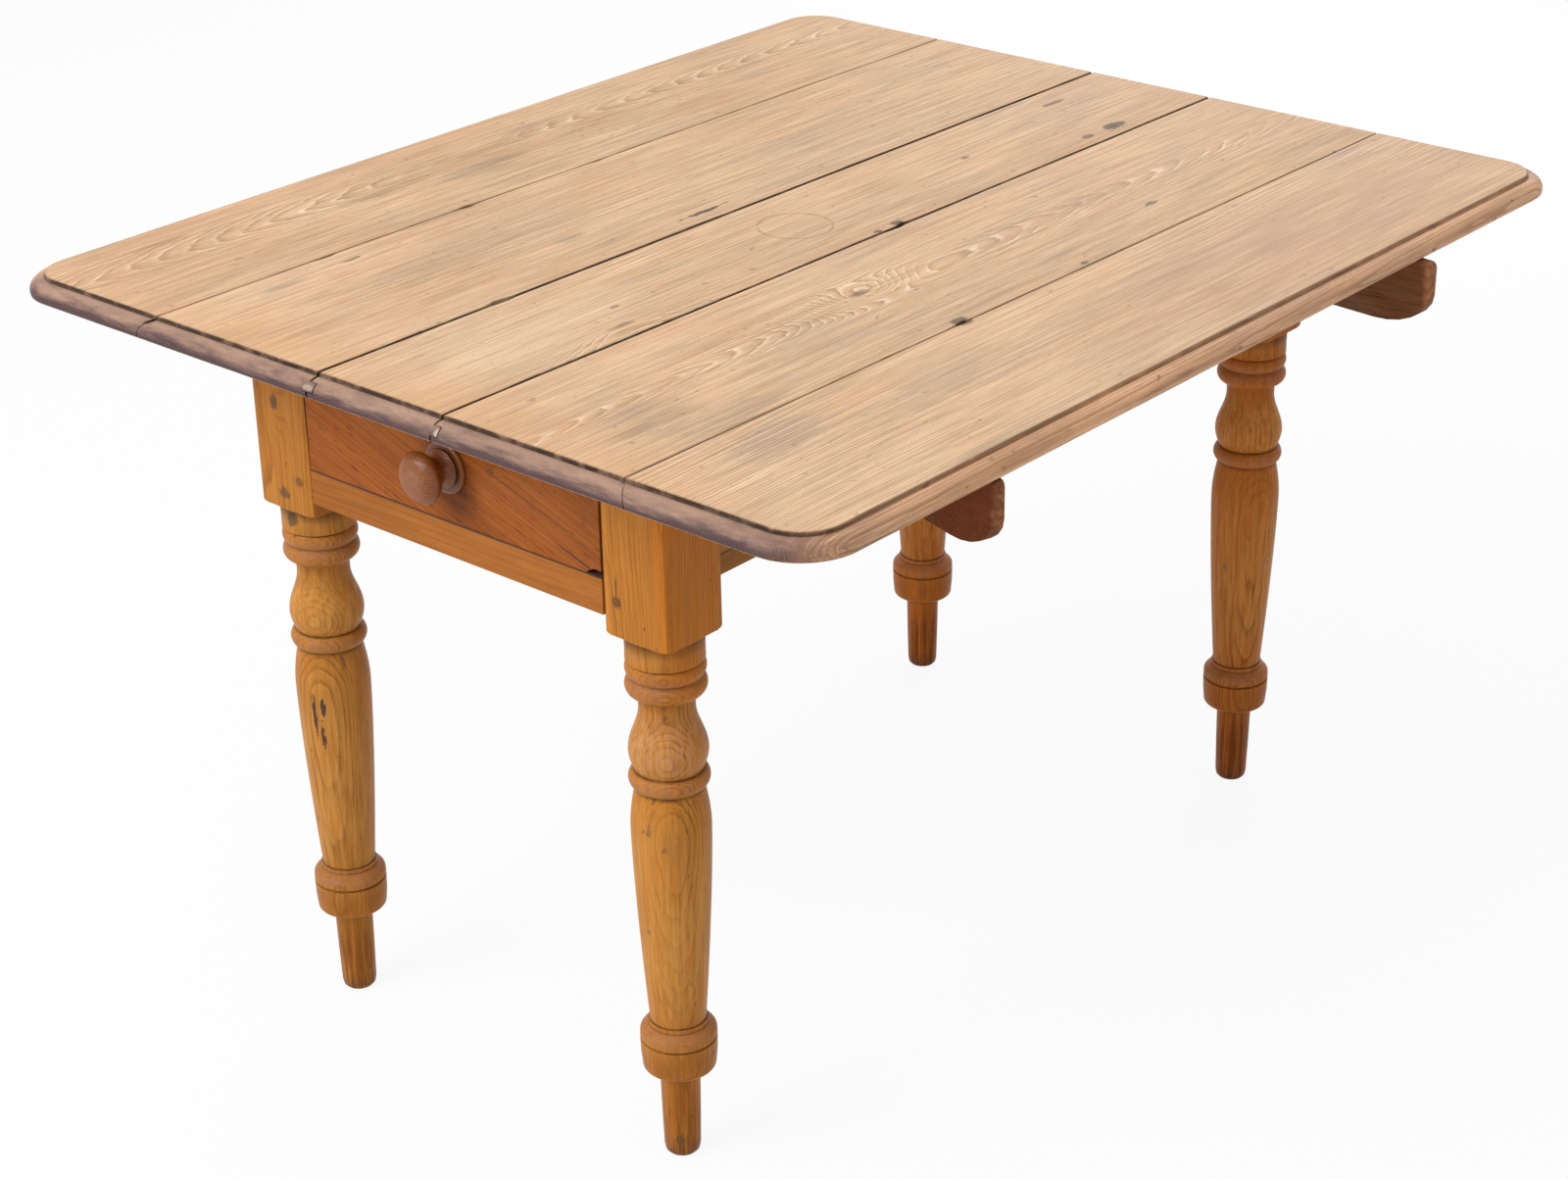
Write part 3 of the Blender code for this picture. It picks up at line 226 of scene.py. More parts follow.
STATIONS = 112  # sections along a board
WANDER = 0.0003
WORN_DEPTH = 0.006  # only the upper part of an edge wanders
QUIRK = THUMB + 0.0002  # where the quirk beside the moulding is darkened: dirt and painted shade
QUIRK_WIDTH = 0.0018
QUIRK_END = THUMB + 0.002
HAIR = 0.0005  # faces that meet are told apart by this much
ARRIS = 0.0006  # height of the worn corner of an edge
# how dark the walls of a seam and their worn top corners are painted: dirt and painted shade in the gap
SEAM_DIRT_AND_SHADE, ARRIS_DIRT_AND_SHADE = 0.9, 0.4
STEP_SHARE, ROUND_SHARE = 0.5, 0.15
STEP_DEPTH = 0.002


def plank(name, left, right, nicks, beds):
    """A board of the top, cut out of the blank between two edges that wander a little along it.
    A nick is (where along, how deep, how long, -1 for the left edge or 1 for the right one)."""
    shape = bmesh.new()
    sections = []
    length = 2 * (HALF_LENGTH + PAST_EDGE)
    for step in range(STATIONS + 1):
        y = length * (step / STATIONS - 0.5)
        section = []
        for edge, way in ((left, 1), (right[::-1], -1)):
            for x, z in edge:
                wander = 0.0
                if z > TOP - WORN_DEPTH:
                    wander = WANDER * (1 + noise.noise((x * 40, y * 16, way)))
                    for along, deep, long, which in nicks:
                        if which == -way:
                            wander += deep * math.exp(-(((y - along) / long) ** 2))
                section.append(shape.verts.new((x + way * wander, y, z)))
        sections.append(section)
    loft(shape, sections)
    rough = placed(name, mesh_of(shape, name, CREASE))
    trim = rough.modifiers.new("trim", "BOOLEAN")
    trim.operation = "INTERSECT"
    trim.object = blank
    if beds:
        let_in = rough.modifiers.new("let_in", "BOOLEAN")
        let_in.operation = "DIFFERENCE"
        let_in.object = beds
    depsgraph = bpy.context.evaluated_depsgraph_get()
    mesh = bpy.data.meshes.new_from_object(rough.evaluated_get(depsgraph))
    bpy.data.objects.remove(rough)
    if beds:
        bpy.data.objects.remove(beds)
    mesh.name = name
    # Dirt and painted shade: the quirk beside the moulding is darkened, more towards the ends, and so are
    # the walls of the seams and rule joints.
    grime_and_shade = mesh.attributes.new("grime_and_shade", "FLOAT", "POINT")
    endwise = mesh.attributes.new("endwise", "FLOAT", "POINT")
    for vertex in mesh.vertices:
        inset, end = inside_plan(vertex.co)
        z = vertex.co.z
        dirt_and_shade = 0.0
        if z > FILLET_FOOT - HAIR and inset < QUIRK_END:
            dirt_and_shade = max(0.0, 1.0 - abs(inset - QUIRK) / QUIRK_WIDTH) * (0.55 + 0.45 * end)
        elif inset > QUIRK_END and UNDER + HAIR < z < TOP - 0.0001:
            dirt_and_shade = ARRIS_DIRT_AND_SHADE if z > TOP - ARRIS else SEAM_DIRT_AND_SHADE
            if abs(abs(vertex.co.x) - HINGE_X) < 2 * RULE_RADIUS:  # a rule joint is darkened less, and least on its round
                dirt_and_shade *= STEP_SHARE if z > HINGE_Z + RULE_RADIUS - STEP_DEPTH else ROUND_SHARE
        grime_and_shade.data[vertex.index].value = dirt_and_shade
        endwise.data[vertex.index].value = end
    scrubbed_face, moulded_face, under_face = range(3)
    for face in mesh.polygons:
        face.material_index = scrubbed_face
        if face.normal.z < -0.7:
            face.material_index = under_face
        elif inside_plan(face.center)[0] < THUMB + HAIR and face.center.z < TOP - ARRIS:
            face.material_index = moulded_face
    mesh.shade_smooth()
    mesh.set_sharp_from_angle(angle=math.radians(28))
    return mesh


def fill(socket, value):
    """Links a socket, or sets it where the value is plain."""
    if isinstance(value, bpy.types.NodeSocket):
        socket.id_data.links.new(value, socket)
    else:
        socket.default_value = value


def node(tree, kind, *values, **settings):
    """A new shader node of this kind, set up, with its first sockets filled."""
    made = tree.nodes.new(f"ShaderNode{kind}")
    for name, setting in settings.items():
        setattr(made, name, setting)
    for socket, value in zip(made.inputs, values):
        fill(socket, value)
    return made


def feed(made, sockets):
    """Fills the sockets of a node by their names."""
    for name, value in sockets.items():
        fill(made.inputs[name], value)
    return made.outputs


def tree_of(*values):
    """The shader tree that the linked ones of these values belong to."""
    return next(value.id_data for value in values if isinstance(value, bpy.types.NodeSocket))


def maths(operation, *values):
    return node(tree_of(*values), "Math", *values, operation=operation).outputs[0]


def vector_maths(operation, *values):
    made = node(tree_of(*values), "VectorMath", *values, operation=operation)
    return made.outputs["Value" if operation in ("LENGTH", "DOT_PRODUCT") else "Vector"]


def split(vector):
    return node(tree_of(vector), "SeparateXYZ", vector).outputs


def joined(*values):
    return node(tree_of(*values), "CombineXYZ", *values).outputs[0]


def between(value, *ranges):
    """Eases from a start to an end, 0 and 1 if not given, as the value goes from low to high."""
    made = node(tree_of(value), "MapRange", value, *ranges, interpolation_type="SMOOTHSTEP")
    return made.outputs["Result"]


def mixed(share, first, second, mode="MIX"):
    made = node(tree_of(share, first, second), "Mix", data_type="RGBA", blend_type=mode)
    for index, value in ((0, share), (6, first), (7, second)):
        fill(made.inputs[index], (*value, 1.0) if isinstance(value, tuple) else value)
    return made.outputs[2]


def laid(mask, share, under, over):
    """One colour laid over another through a mask, at a share of its strength."""
    return mixed(maths("MULTIPLY", mask, share), under, over)


def cloudy(place, cells, board, detail=2.0, roughness=0.5, output="Fac"):
    """Soft noise with so many cells per metre each way; board tells one piece of wood from another."""
    spot = vector_maths("MULTIPLY", place, cells)
    sockets = {"Vector": spot, "W": board, "Scale": 1.0, "Detail": detail, "Roughness": roughness}
    return feed(node(tree_of(place), "TexNoise", noise_dimensions="4D"), sockets)[output]


def bumped(height, strength, distance):
    sockets = {"Strength": strength, "Distance": distance, "Height": height}
    return feed(node(tree_of(height), "Bump"), sockets)["Normal"]


def effect(name, inputs, outputs):
    """An empty node group with these sockets, and its two ends."""
    tree = bpy.data.node_groups.new(name, "ShaderNodeTree")
    for socket, kind in inputs.items():
        tree.interface.new_socket(socket, in_out="INPUT", socket_type=f"NodeSocket{kind}")
    for socket in outputs:
        tree.interface.new_socket(socket, in_out="OUTPUT", socket_type="NodeSocketFloat")
    return tree, tree.nodes.new("NodeGroupInput").outputs, tree.nodes.new("NodeGroupOutput").inputs


def use(group, settings):
    return feed(node(tree_of(*settings.values()), "Group", node_tree=group), settings)


def pine_grain():
    """Growth rings about a pith that leans along the board, so that a flat cut shows pointed arches."""
    floats = ("Board", "Lean", "Rings", "Waver", "Swirl", "Fading", "Bold")
    ports = {"Place": "Vector", "Pith": "Vector"} | {name: "Float" for name in floats}
    masks = ("Early", "Late", "Fibre", "Tone", "Pores", "Grey", "Specks")
    tree, given, out = effect("pine_grain", ports, masks)
    place, board = given["Place"], given["Board"]

    def patches(cells, other, detail, roughness=0.5):
        """One more soft noise of this board."""
        return cloudy(place, cells, maths("ADD", board, other), detail, roughness)

    across, along, deep = split(place)
    pith_across, _, pith_deep = split(given["Pith"])
    bend = split(cloudy(place, (7.0, 1.7, 7.0), board, output="Color"))
    bends = [maths("SUBTRACT", axis, 0.5) for axis in bend]
    across = maths("SUBTRACT", across, pith_across)
    across = maths("MULTIPLY_ADD", bends[0], given["Waver"], across)
    deep = maths("MULTIPLY_ADD", along, given["Lean"], deep)
    deep = maths("SUBTRACT", deep, pith_deep)
    deep = maths("MULTIPLY_ADD", bends[1], given["Waver"], deep)
    reach = maths("MULTIPLY_ADD", deep, deep, maths("MULTIPLY", across, across))
    reach = maths("ADD", maths("SQRT", reach), given["Swirl"])
    ripple = cloudy(place, (130.0, 22.0, 130.0), board, 3.0)
    reach = maths("MULTIPLY_ADD", ripple, 0.0022, reach)
    age = maths("MULTIPLY", reach, given["Rings"])
    seasons = patches((22.0, 0.9, 22.0), 5.0, 1.0)
    year = maths("FRACT", maths("MULTIPLY_ADD", seasons, 2.2, age))
    spring = maths("POWER", between(year, 0.04, 0.46, 1.0, 0.0), 2.0)
    early = maths("MULTIPLY", between(year, 0.0, 0.05), spring)
    autumn = maths("POWER", between(year, 0.45, 0.92), 2.0)
    late = maths("MULTIPLY", autumn, between(year, 0.965, 1.0, 1.0, 0.0))
    broken = patches((95.0, 7.0, 95.0), 11.0, 3.0, 0.6)
    early = maths("MULTIPLY", early, between(broken, 0.36, 0.60, 0.25, 1.0))
    shown = patches((13.0, 2.2, 13.0), 9.0, 3.0, 0.6)
    shown = maths("MULTIPLY_ADD", given["Bold"], 0.22, shown)
    hidden = between(shown, 0.44, 0.64, 0.9, 0.0)
    kept = maths("SUBTRACT", 1.0, maths("MULTIPLY", hidden, given["Fading"]))
    fill(out["Early"], maths("MULTIPLY", early, kept))
    fill(out["Late"], maths("MULTIPLY", late, kept))
    fill(out["Fibre"], cloudy(place, (260.0, 7.0, 260.0), board, 5.0, 0.7))
    broad = patches((7.0, 2.4, 7.0), 2.0, 3.0, 0.6)
    blotch = patches((34.0, 9.0, 34.0), 4.0, 4.0, 0.65)
    fill(out["Tone"], maths("MULTIPLY_ADD", blotch, 0.45, maths("MULTIPLY", broad, 0.55)))
    dashes = patches((520.0, 50.0, 520.0), 3.0, 1.0)
    fill(out["Pores"], between(dashes, 0.62, 0.72))
    weather = patches((17.0, 3.2, 17.0), 6.0, 5.0, 0.66)
    fill(out["Grey"], between(weather, 0.47, 0.68))
    dents = patches((120.0, 70.0, 120.0), 7.0, 1.0)
    fill(out["Specks"], between(dents, 0.70, 0.745))
    return tree


def knot_swirl():
    """Grain that flows round a knot: a rise in the rings about it, and its dark core."""
    ports = {"Place": "Vector", "Centre": "Vector", "Spread": "Vector"}
    tree, given, out = effect("knot_swirl", ports, ("Rise", "Core"))
    off = vector_maths("SUBTRACT", given["Place"], given["Centre"])
    off = vector_maths("DIVIDE", off, given["Spread"])
    away = vector_maths("DOT_PRODUCT", off, off)
    fill(out["Rise"], maths("EXPONENT", maths("MULTIPLY", away, -1.0)))
    ragged = cloudy(given["Place"], (55.0, 30.0, 55.0), 1.0)
    away = maths("MULTIPLY_ADD", maths("SUBTRACT", ragged, 0.5), 0.12, away)
    fill(out["Core"], between(away, 0.004, 0.05, 1.0, 0.0))
    return tree


def stain_patch():
    """A ragged patch for a stain, scuff, crack or burn, and its rim for a ring left by a wet pot. The
    same shapes also lay painted light and shade: pale bands, shadow lines in gaps, a shadow ring.
    """
    ports = {"Place": "Vector", "Centre": "Vector", "Size": "Vector", "Ragged": "Float"}
    tree, given, out = effect("stain_patch", ports, ("Patch", "Crack", "Rim"))
    off = vector_maths("SUBTRACT", given["Place"], given["Centre"])
    away = vector_maths("LENGTH", vector_maths("DIVIDE", off, given["Size"]))
    rough = cloudy(given["Place"], (95.0, 22.0, 95.0), 4.0, 5.0, 0.68)
    ragged = maths("MULTIPLY_ADD", maths("SUBTRACT", rough, 0.5), given["Ragged"], away)
    fibres = cloudy(given["Place"], (240.0, 9.0, 240.0), 8.0, 4.0, 0.7)
    soaked = between(fibres, 0.36, 0.62, 0.15, 1.0)
    fill(out["Patch"], maths("MULTIPLY", between(ragged, 0.3, 1.0, 1.0, 0.0), soaked))
    thin_line = cloudy(given["Place"], (380.0, 110.0, 380.0), 6.0, 3.0, 0.6)
    thin_line = maths("MULTIPLY_ADD", maths("SUBTRACT", thin_line, 0.5), given["Ragged"], ragged)
    fill(out["Crack"], between(thin_line, 0.70, 0.98, 1.0, 0.0))
    ring = maths("ABSOLUTE", maths("SUBTRACT", away, 0.93))
    ring = between(ring, 0.0, 0.06, 1.0, 0.0)
    fill(out["Rim"], maths("MULTIPLY", ring, between(rough, 0.3, 0.58)))
    return tree


PINE_GRAIN = pine_grain()
KNOT_SWIRL = knot_swirl()
STAIN_PATCH = stain_patch()
# near black brown for dirt and painted shade in quirks, seams and hollows
GRIME_AND_SHADE = (0.020, 0.011, 0.008)
KNOT = (0.13, 0.065, 0.030)


def attribute(tree, name):
    return node(tree, "Attribute", attribute_name=name).outputs["Fac"]


def new_finish(name):
    """A new finish, its shader tree and its surface."""
    material = bpy.data.materials.new(name)
    material.use_nodes = True
    return material, material.node_tree, material.node_tree.nodes["Principled BSDF"]


def pine(name, cut, colours, contrast, gloss, **more):
    """Solid pine as a finish. The cut says which axes run across, along and into the board, and where
    its pith was; the colours are of the ground, its warmer patches, the pale lines of early wood and
    the dark ones of late wood; the contrast is that of the pale and of the dark lines. A stain, which
    may also be painted light or shade, is (kind, centre, size, raggedness, tint, strength) and a knot
    (centre, spread, lift of the rings), placed across, along and into the board. Cut ends given as
    ends are painted dark at the foot of the moulding and light at its top, painted shade and light."""
    material, tree, surface = new_finish(name)
    here = split(node(tree, "TexCoord").outputs["Object"])
    across, along, deep = [here["xyz".index(axis)] for axis in cut["axes"]]
    if "slope" in cut:
        across = maths("MULTIPLY_ADD", along, cut["slope"], across)
    place = joined(across, along, deep)
    swirl = 0.0
    cores = []
    for centre, spread, lift in more.get("knots", ()):
        knot = use(KNOT_SWIRL, {"Place": place, "Centre": centre, "Spread": spread})
        swirl = maths("MULTIPLY_ADD", knot["Rise"], lift, swirl)
        cores.append(knot["Core"])
    bold = 0.0
    for centre, size in more.get("bold", ()):
        area = {"Place": place, "Centre": centre, "Size": size, "Ragged": 1.0}
        bold = maths("MAXIMUM", use(STAIN_PATCH, area)["Patch"], bold)
    pith = (cut["pith"][0], 0.0, cut["pith"][1])
    settings = {"Place": place, "Board": cut["board"], "Pith": pith, "Lean": cut["lean"]}
    settings |= {"Rings": cut["rings"], "Waver": cut.get("waver", 0.012), "Swirl": swirl, "Bold": bold}
    grain = use(PINE_GRAIN, settings | {"Fading": cut.get("fading", 0.5)})
    ground, warm, light, dark = colours
    colour = mixed(between(grain["Tone"], 0.40, 0.62, 0.0, 0.9), ground, warm)
    if "weathered" in more:
        colour = laid(grain["Grey"], 0.55, colour, more["weathered"])
    colour = laid(grain["Late"], contrast[1], colour, dark)
    colour = laid(grain["Early"], contrast[0], colour, light)
    streak = between(grain["Fibre"], 0.3, 0.7, *more.get("streaks", (0.78, 1.12)))
    colour = mixed(1.0, colour, joined(streak, streak, streak), "MULTIPLY")
    colour = laid(grain["Pores"], more.get("pores", 0.3), colour, dark)
    colour = laid(grain["Specks"], more.get("specks", 0.5), colour, KNOT)
    # On the cut ends the colour runs from the first of the ends colours at the foot of the moulding to the
    # second at its top: painted shade below and painted light above, mottled and with late-wood lines.
    if "ends" in more:
        mottle = cloudy(place, (22.0, 22.0, 160.0), cut["board"], 6.0, 0.68)
        height = maths("MULTIPLY_ADD", maths("SUBTRACT", mottle, 0.5), 0.028, here[2])
        lit_and_shaded_cut_end = mixed(between(height, NOSE - 0.001, TOP - 0.001), *more["ends"])
        lit_and_shaded_cut_end = laid(grain["Late"], 0.3, lit_and_shaded_cut_end, dark)
        colour = mixed(between(attribute(tree, "endwise"), 0.15, 0.8), colour, lit_and_shaded_cut_end)
    for core in cores:
        colour = laid(core, 0.65, colour, KNOT)
    for kind, centre, size, ragged, tint, share in more.get("stains", ()):
        mark = use(STAIN_PATCH, {"Place": place, "Centre": centre, "Size": size, "Ragged": ragged})
        colour = laid(mark[kind], share, colour, tint)
    # Quirks, seams and the hollows of turnings are darkened towards a near black brown, by the attribute set
    # on each mesh: dirt and painted shade.
    patchy = between(cloudy(place, (60.0, 40.0, 60.0), 2.0, 3.0), 0.3, 0.55, 0.6, 0.97)
    colour = laid(attribute(tree, "grime_and_shade"), patchy, colour, GRIME_AND_SHADE)
    relief = maths("MULTIPLY", grain["Fibre"], 0.5)
    relief = maths("MULTIPLY_ADD", grain["Late"], 0.6, relief)
    looks = {
        "Base Color": colour,
        "Roughness": between(grain["Tone"], 0.3, 0.7, *gloss),
        "Specular IOR Level": more.get("shine", 0.12),
        "Normal": bumped(relief, more.get("relief", 0.5), 0.0006),
    }
    feed(surface, looks)
    return material


BARE = ((0.54, 0.36, 0.20), (0.46, 0.28, 0.15), (0.62, 0.43, 0.26), (0.32, 0.18, 0.09))


def bare(name, axes, board, pith):
    """Sawn pine, never waxed or scrubbed: under the top, inside the frame and in the drawer."""
    cut = {"axes": axes, "board": board, "pith": pith, "lean": 0.02, "rings": 200.0, "fading": 0.6}
    return pine(name, cut, BARE, (0.3, 0.7), (0.85, 0.72), relief=0.7)


bare_flat = bare("bare_pine_flat", "xyz", 35.0, (0.03, 0.55))


def piece(name, mesh, body, slot, materials, *stands_for):
    """Sets a finished mesh in its place on a body, for the solids that it stands for."""
    made = placed(name, mesh)
    for material in materials:
        mesh.materials.append(material)
    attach(made, body)
    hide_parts(*stands_for)


SCRUBBED = ((0.745, 0.495, 0.300), (0.665, 0.390, 0.208), (0.97, 0.79, 0.58), (0.42, 0.225, 0.115))
WEATHERED = (0.52, 0.355, 0.230)
GREY = (0.30, 0.225, 0.165)
BROWN = (0.33, 0.18, 0.10)
ORANGE = (0.68, 0.35, 0.14)
BLACK = (0.045, 0.030, 0.026)
CHALK = (0.50, 0.43, 0.34)
CREAM = (0.88, 0.66, 0.44)
MULBERRY = (0.225, 0.120, 0.085)
CHESTNUT = (0.42, 0.215, 0.125)
SKIN = 0.02  # marks reach this far into the wood
NEAR_END = -HALF_LENGTH
WARM_END = ("Patch", 0.0, NEAR_END, 0.62, 0.13, 1.0, ORANGE, 0.45)
TONGUE_END = Vector((SEAM_LEFT + 0.001, NEAR_END, MID_THICKNESS))
FILLER = Vector((SEAM_RIGHT + 0.0065, NEAR_END, MID_THICKNESS))
NEAR_CORNER = (HALF_WIDTH - 0.012, NEAR_END + 0.034, NOSE)
NEAR_SIDE = (HALF_WIDTH, -0.40, NOSE)
moulding = pine(
    "planed_moulding",
    {"axes": "xyz", "board": 7.3, "pith": (0.0, 0.60), "lean": 0.02, "rings": 330.0, "fading": 0.3},
    ((0.86, 0.50, 0.27), (0.66, 0.36, 0.21), (0.93, 0.62, 0.38), (0.36, 0.165, 0.085)),
    (0.5, 0.75),
    (0.50, 0.36),
    # cut ends: near black at the foot of the moulding, painted shade, and tan at its top, painted light
    ends=((0.070, 0.043, 0.050), (0.44, 0.275, 0.198)),
    weathered=(0.57, 0.34, 0.21),
    stains=(
        ("Crack", TONGUE_END, (0.0075, 0.012, 0.0026), 0.8, CHALK, 0.5),
        ("Crack", FILLER, (0.0031, 0.012, 0.0038), 0.5, CHALK, 0.8),
        ("Patch", NEAR_CORNER, (0.065, 0.110, 0.05), 0.8, MULBERRY, 0.75),
        ("Patch", NEAR_SIDE, (0.05, 0.26, 0.05), 1.0, CHESTNUT, 0.5),
    ),
)


def scrubbed(name, heart, bold, stains, knots=()):
    """Scrubbed top of one board, with its own heart, bold grain in places, stains and knots. A bold
    place is (x, y, width, length); a stain has its kind before these and its looks after them."""
    cut = {"axes": "xyz", "fading": 1.0, "waver": 0.008} | heart
    places = [((x, y, TOP), (width, length, SKIN)) for x, y, width, length in bold]
    stains = [
        (kind, (x, y, TOP), (width, length, SKIN), *looks)
        for kind, x, y, width, length, *looks in (WARM_END, *stains)
    ]
    marks = {"stains": stains, "knots": knots, "bold": places, "specks": 0.35}
    looks = {"weathered": WEATHERED, "streaks": (0.70, 1.18)}
    return pine(name, cut, SCRUBBED, (0.85, 0.60), (0.62, 0.46), **marks, **looks)


def lay(name, body, stands_for, wood, left, right, nicks, beds=None):
    """Cuts a board of the top out of the blank and sets it in its place."""
    woods = (wood, moulding, bare_flat)
    piece(name, plank(name, left, right, nicks, beds), body, "scrubbed_pine", woods, stands_for)


left_board_wood = scrubbed(
    "scrubbed_board_left",
    {"board": 1.0, "pith": (-0.42, 0.60), "lean": 0.01, "rings": 330.0},
    ((-0.19, -0.30, 0.09, 0.26),),
    (
        ("Crack", -0.098, -0.055, 0.0035, 0.034, 2.4, BLACK, 0.85),
        ("Patch", -0.149, -0.195, 0.014, 0.03, 1.2, GREY, 0.6),
        ("Crack", -0.273, -0.372, 0.0035, 0.014, 2.2, BLACK, 0.6),
        ("Patch", -0.268, -0.46, 0.007, 0.04, 1.4, GREY, 0.6),
        ("Patch", -0.260, -0.491, 0.007, 0.008, 0.2, CHALK, 0.95),
        ("Patch", -0.18, 0.25, 0.05, 0.20, 1.6, GREY, 0.25),
        ("Patch", -0.20, -0.28, 0.05, 0.22, 1.9, GREY, 0.32),
    ),
)
lay(
    "fixed_board_left",
    "frame",
    "top_board_left",
    left_board_wood,
    other_side(rule_round()),
    tongue(SEAM_LEFT, SEAM_LEFT_GAP),
    (
        (-0.600, 0.004, 0.006, -1),
        (-0.383, 0.003, 0.009, -1),
        (-0.188, 0.003, 0.010, -1),
        (0.004, 0.002, 0.008, -1),
        (-0.364, 0.004, 0.010, 1),
    ),
    hinge_cutter("left", other_side(top_bed())),
)

middle_board_wood = scrubbed(
    "scrubbed_board_middle",
    {"board": 2.0, "pith": (-0.11, 0.62), "lean": 0.012, "rings": 360.0},
    ((0.045, -0.42, 0.06, 0.26),),
    (
        ("Rim", 0.004, -0.028, 0.041, 0.041, 0.0, BROWN, 0.75),
        ("Crack", 0.063, 0.439, 0.010, 0.021, 1.2, BLACK, 0.75),
        ("Crack", 0.063, 0.390, 0.006, 0.011, 1.3, BLACK, 0.65),
        ("Crack", -0.039, 0.466, 0.004, 0.022, 1.8, BLACK, 0.75),
        ("Crack", 0.078, 0.043, 0.005, 0.010, 1.4, BLACK, 0.75),
        ("Crack", 0.080, 0.011, 0.004, 0.008, 1.4, BLACK, 0.7),
        ("Crack", 0.004, 0.250, 0.004, 0.007, 1.0, BLACK, 0.6),
        ("Crack", 0.020, -0.307, 0.004, 0.008, 1.0, BLACK, 0.55),
        ("Patch", 0.0, 0.12, 0.03, 0.05, 1.4, GREY, 0.25),
        ("Patch", 0.0, -0.42, 0.08, 0.22, 1.2, CREAM, 0.4),
    ),
    (
        ((0.059, -0.341, TOP), (0.026, 0.10, 0.09), 0.024),
        ((0.063, 0.439, TOP), (0.018, 0.05, 0.05), 0.010),
    ),
)
lay(
    "fixed_board_middle",
    "frame",
    "top_board_middle",
    middle_board_wood,
    groove(SEAM_LEFT, SEAM_LEFT_GAP),
    tongue(SEAM_RIGHT, SEAM_RIGHT_GAP),
    ((0.045, 0.003, 0.008, 1), (-0.360, 0.002, 0.008, -1)),
)

right_board_wood = scrubbed(
    "scrubbed_board_right",
    {"board": 3.0, "pith": (0.186, 0.712), "lean": 0.045, "rings": 520.0},
    ((0.20, 0.10, 0.05, 0.28), (0.177, -0.14, 0.06, 0.12)),
    (
        ("Patch", 0.234, -0.49, 0.05, 0.07, 1.6, GREY, 0.55),
        ("Patch", 0.280, -0.44, 0.03, 0.09, 1.6, GREY, 0.45),
        ("Crack", 0.243, 0.249, 0.004, 0.014, 2.0, BLACK, 0.6),
        ("Crack", 0.295, -0.136, 0.006, 0.013, 1.0, BLACK, 0.7),
        ("Crack", 0.294, 0.063, 0.003, 0.006, 1.0, BLACK, 0.7),
        ("Patch", 0.22, -0.25, 0.04, 0.12, 1.8, GREY, 0.3),
        ("Patch", 0.185, 0.20, 0.014, 0.10, 0.9, BROWN, 0.4),
    ),
    (((0.177, -0.135, TOP), (0.028, 0.07, 0.09), 0.020),),
)
lay(
    "fixed_board_right",
    "frame",
    "top_board_right",
    right_board_wood,
    groove(SEAM_RIGHT, SEAM_RIGHT_GAP),
    rule_round(),
    ((-0.136, 0.003, 0.009, 1), (0.030, 0.002, 0.010, -1)),
    hinge_cutter("right", top_bed()),
)

# The two leaves are single wide boards of the same pine with the same moulding on three sides.
# Each hangs on iron hinges under a rule joint, whose hollow rides over the round of the fixed top.


def rule_hollow():
    """Edge of the leaf, hollowed to ride over the round."""
    radius = RULE_RADIUS + RULE_GAP
    curve = about_hinge(radius, math.degrees(math.acos(RULE_GAP / radius)), 0)
    return [*worn_arris(HINGE_X + RULE_GAP, 1), *curve, (HINGE_X + radius, UNDER - PAST_EDGE)]


def outer_edge():
    return [(HALF_WIDTH + PAST_EDGE, TOP + PAST_EDGE), (HALF_WIDTH + PAST_EDGE, UNDER - PAST_EDGE)]


def leaf_bed():
    """Section of the bed for a hinge under a leaf."""
    plate_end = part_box("hinge_leaf_plate_right_front")[1].x + PLATE_ROOM
    ends = ((HINGE_X, UNDER - PAST_EDGE), (HINGE_X, BED_FLOOR))
    return [*ends, (plate_end, BED_FLOOR), (plate_end, UNDER - PAST_EDGE)]


TAN = (0.50, 0.275, 0.155)
RUSSET = (0.55, 0.27, 0.13)
GINGER = (0.62, 0.34, 0.16)
BISCUIT = (0.60, 0.34, 0.20)
left_leaf_wood = scrubbed(
    "scrubbed_leaf_left",
    {"board": 4.0, "pith": (-0.423, 0.695), "lean": -0.05, "rings": 480.0},
    ((-0.423, -0.36, 0.06, 0.20),),
    (
        ("Patch", -0.458, -0.463, 0.013, 0.04, 1.4, BROWN, 0.6),
        ("Patch", -0.379, -0.086, 0.022, 0.09, 1.7, GREY, 0.62),
        ("Patch", -0.405, -0.21, 0.022, 0.08, 1.7, BROWN, 0.45),
        ("Patch", -0.40, 0.02, 0.05, 0.30, 1.9, BROWN, 0.28),
        ("Patch", -0.347, 0.228, 0.035, 0.10, 1.2, RUSSET, 0.45),
        ("Patch", -0.49, -0.20, 0.04, 0.40, 1.2, GINGER, 0.45),
        ("Patch", -0.42, -0.46, 0.12, 0.20, 0.6, TAN, 0.45),
    ),
)
lay(
    "leaf_board_left",
    "leaf_left",
    "leaf_left",
    left_leaf_wood,
    other_side(outer_edge()),
    other_side(rule_hollow()),
    ((-0.19, 0.002, 0.010, 1), (-0.598, 0.003, 0.008, 1)),
    hinge_cutter("left", other_side(leaf_bed())),
)

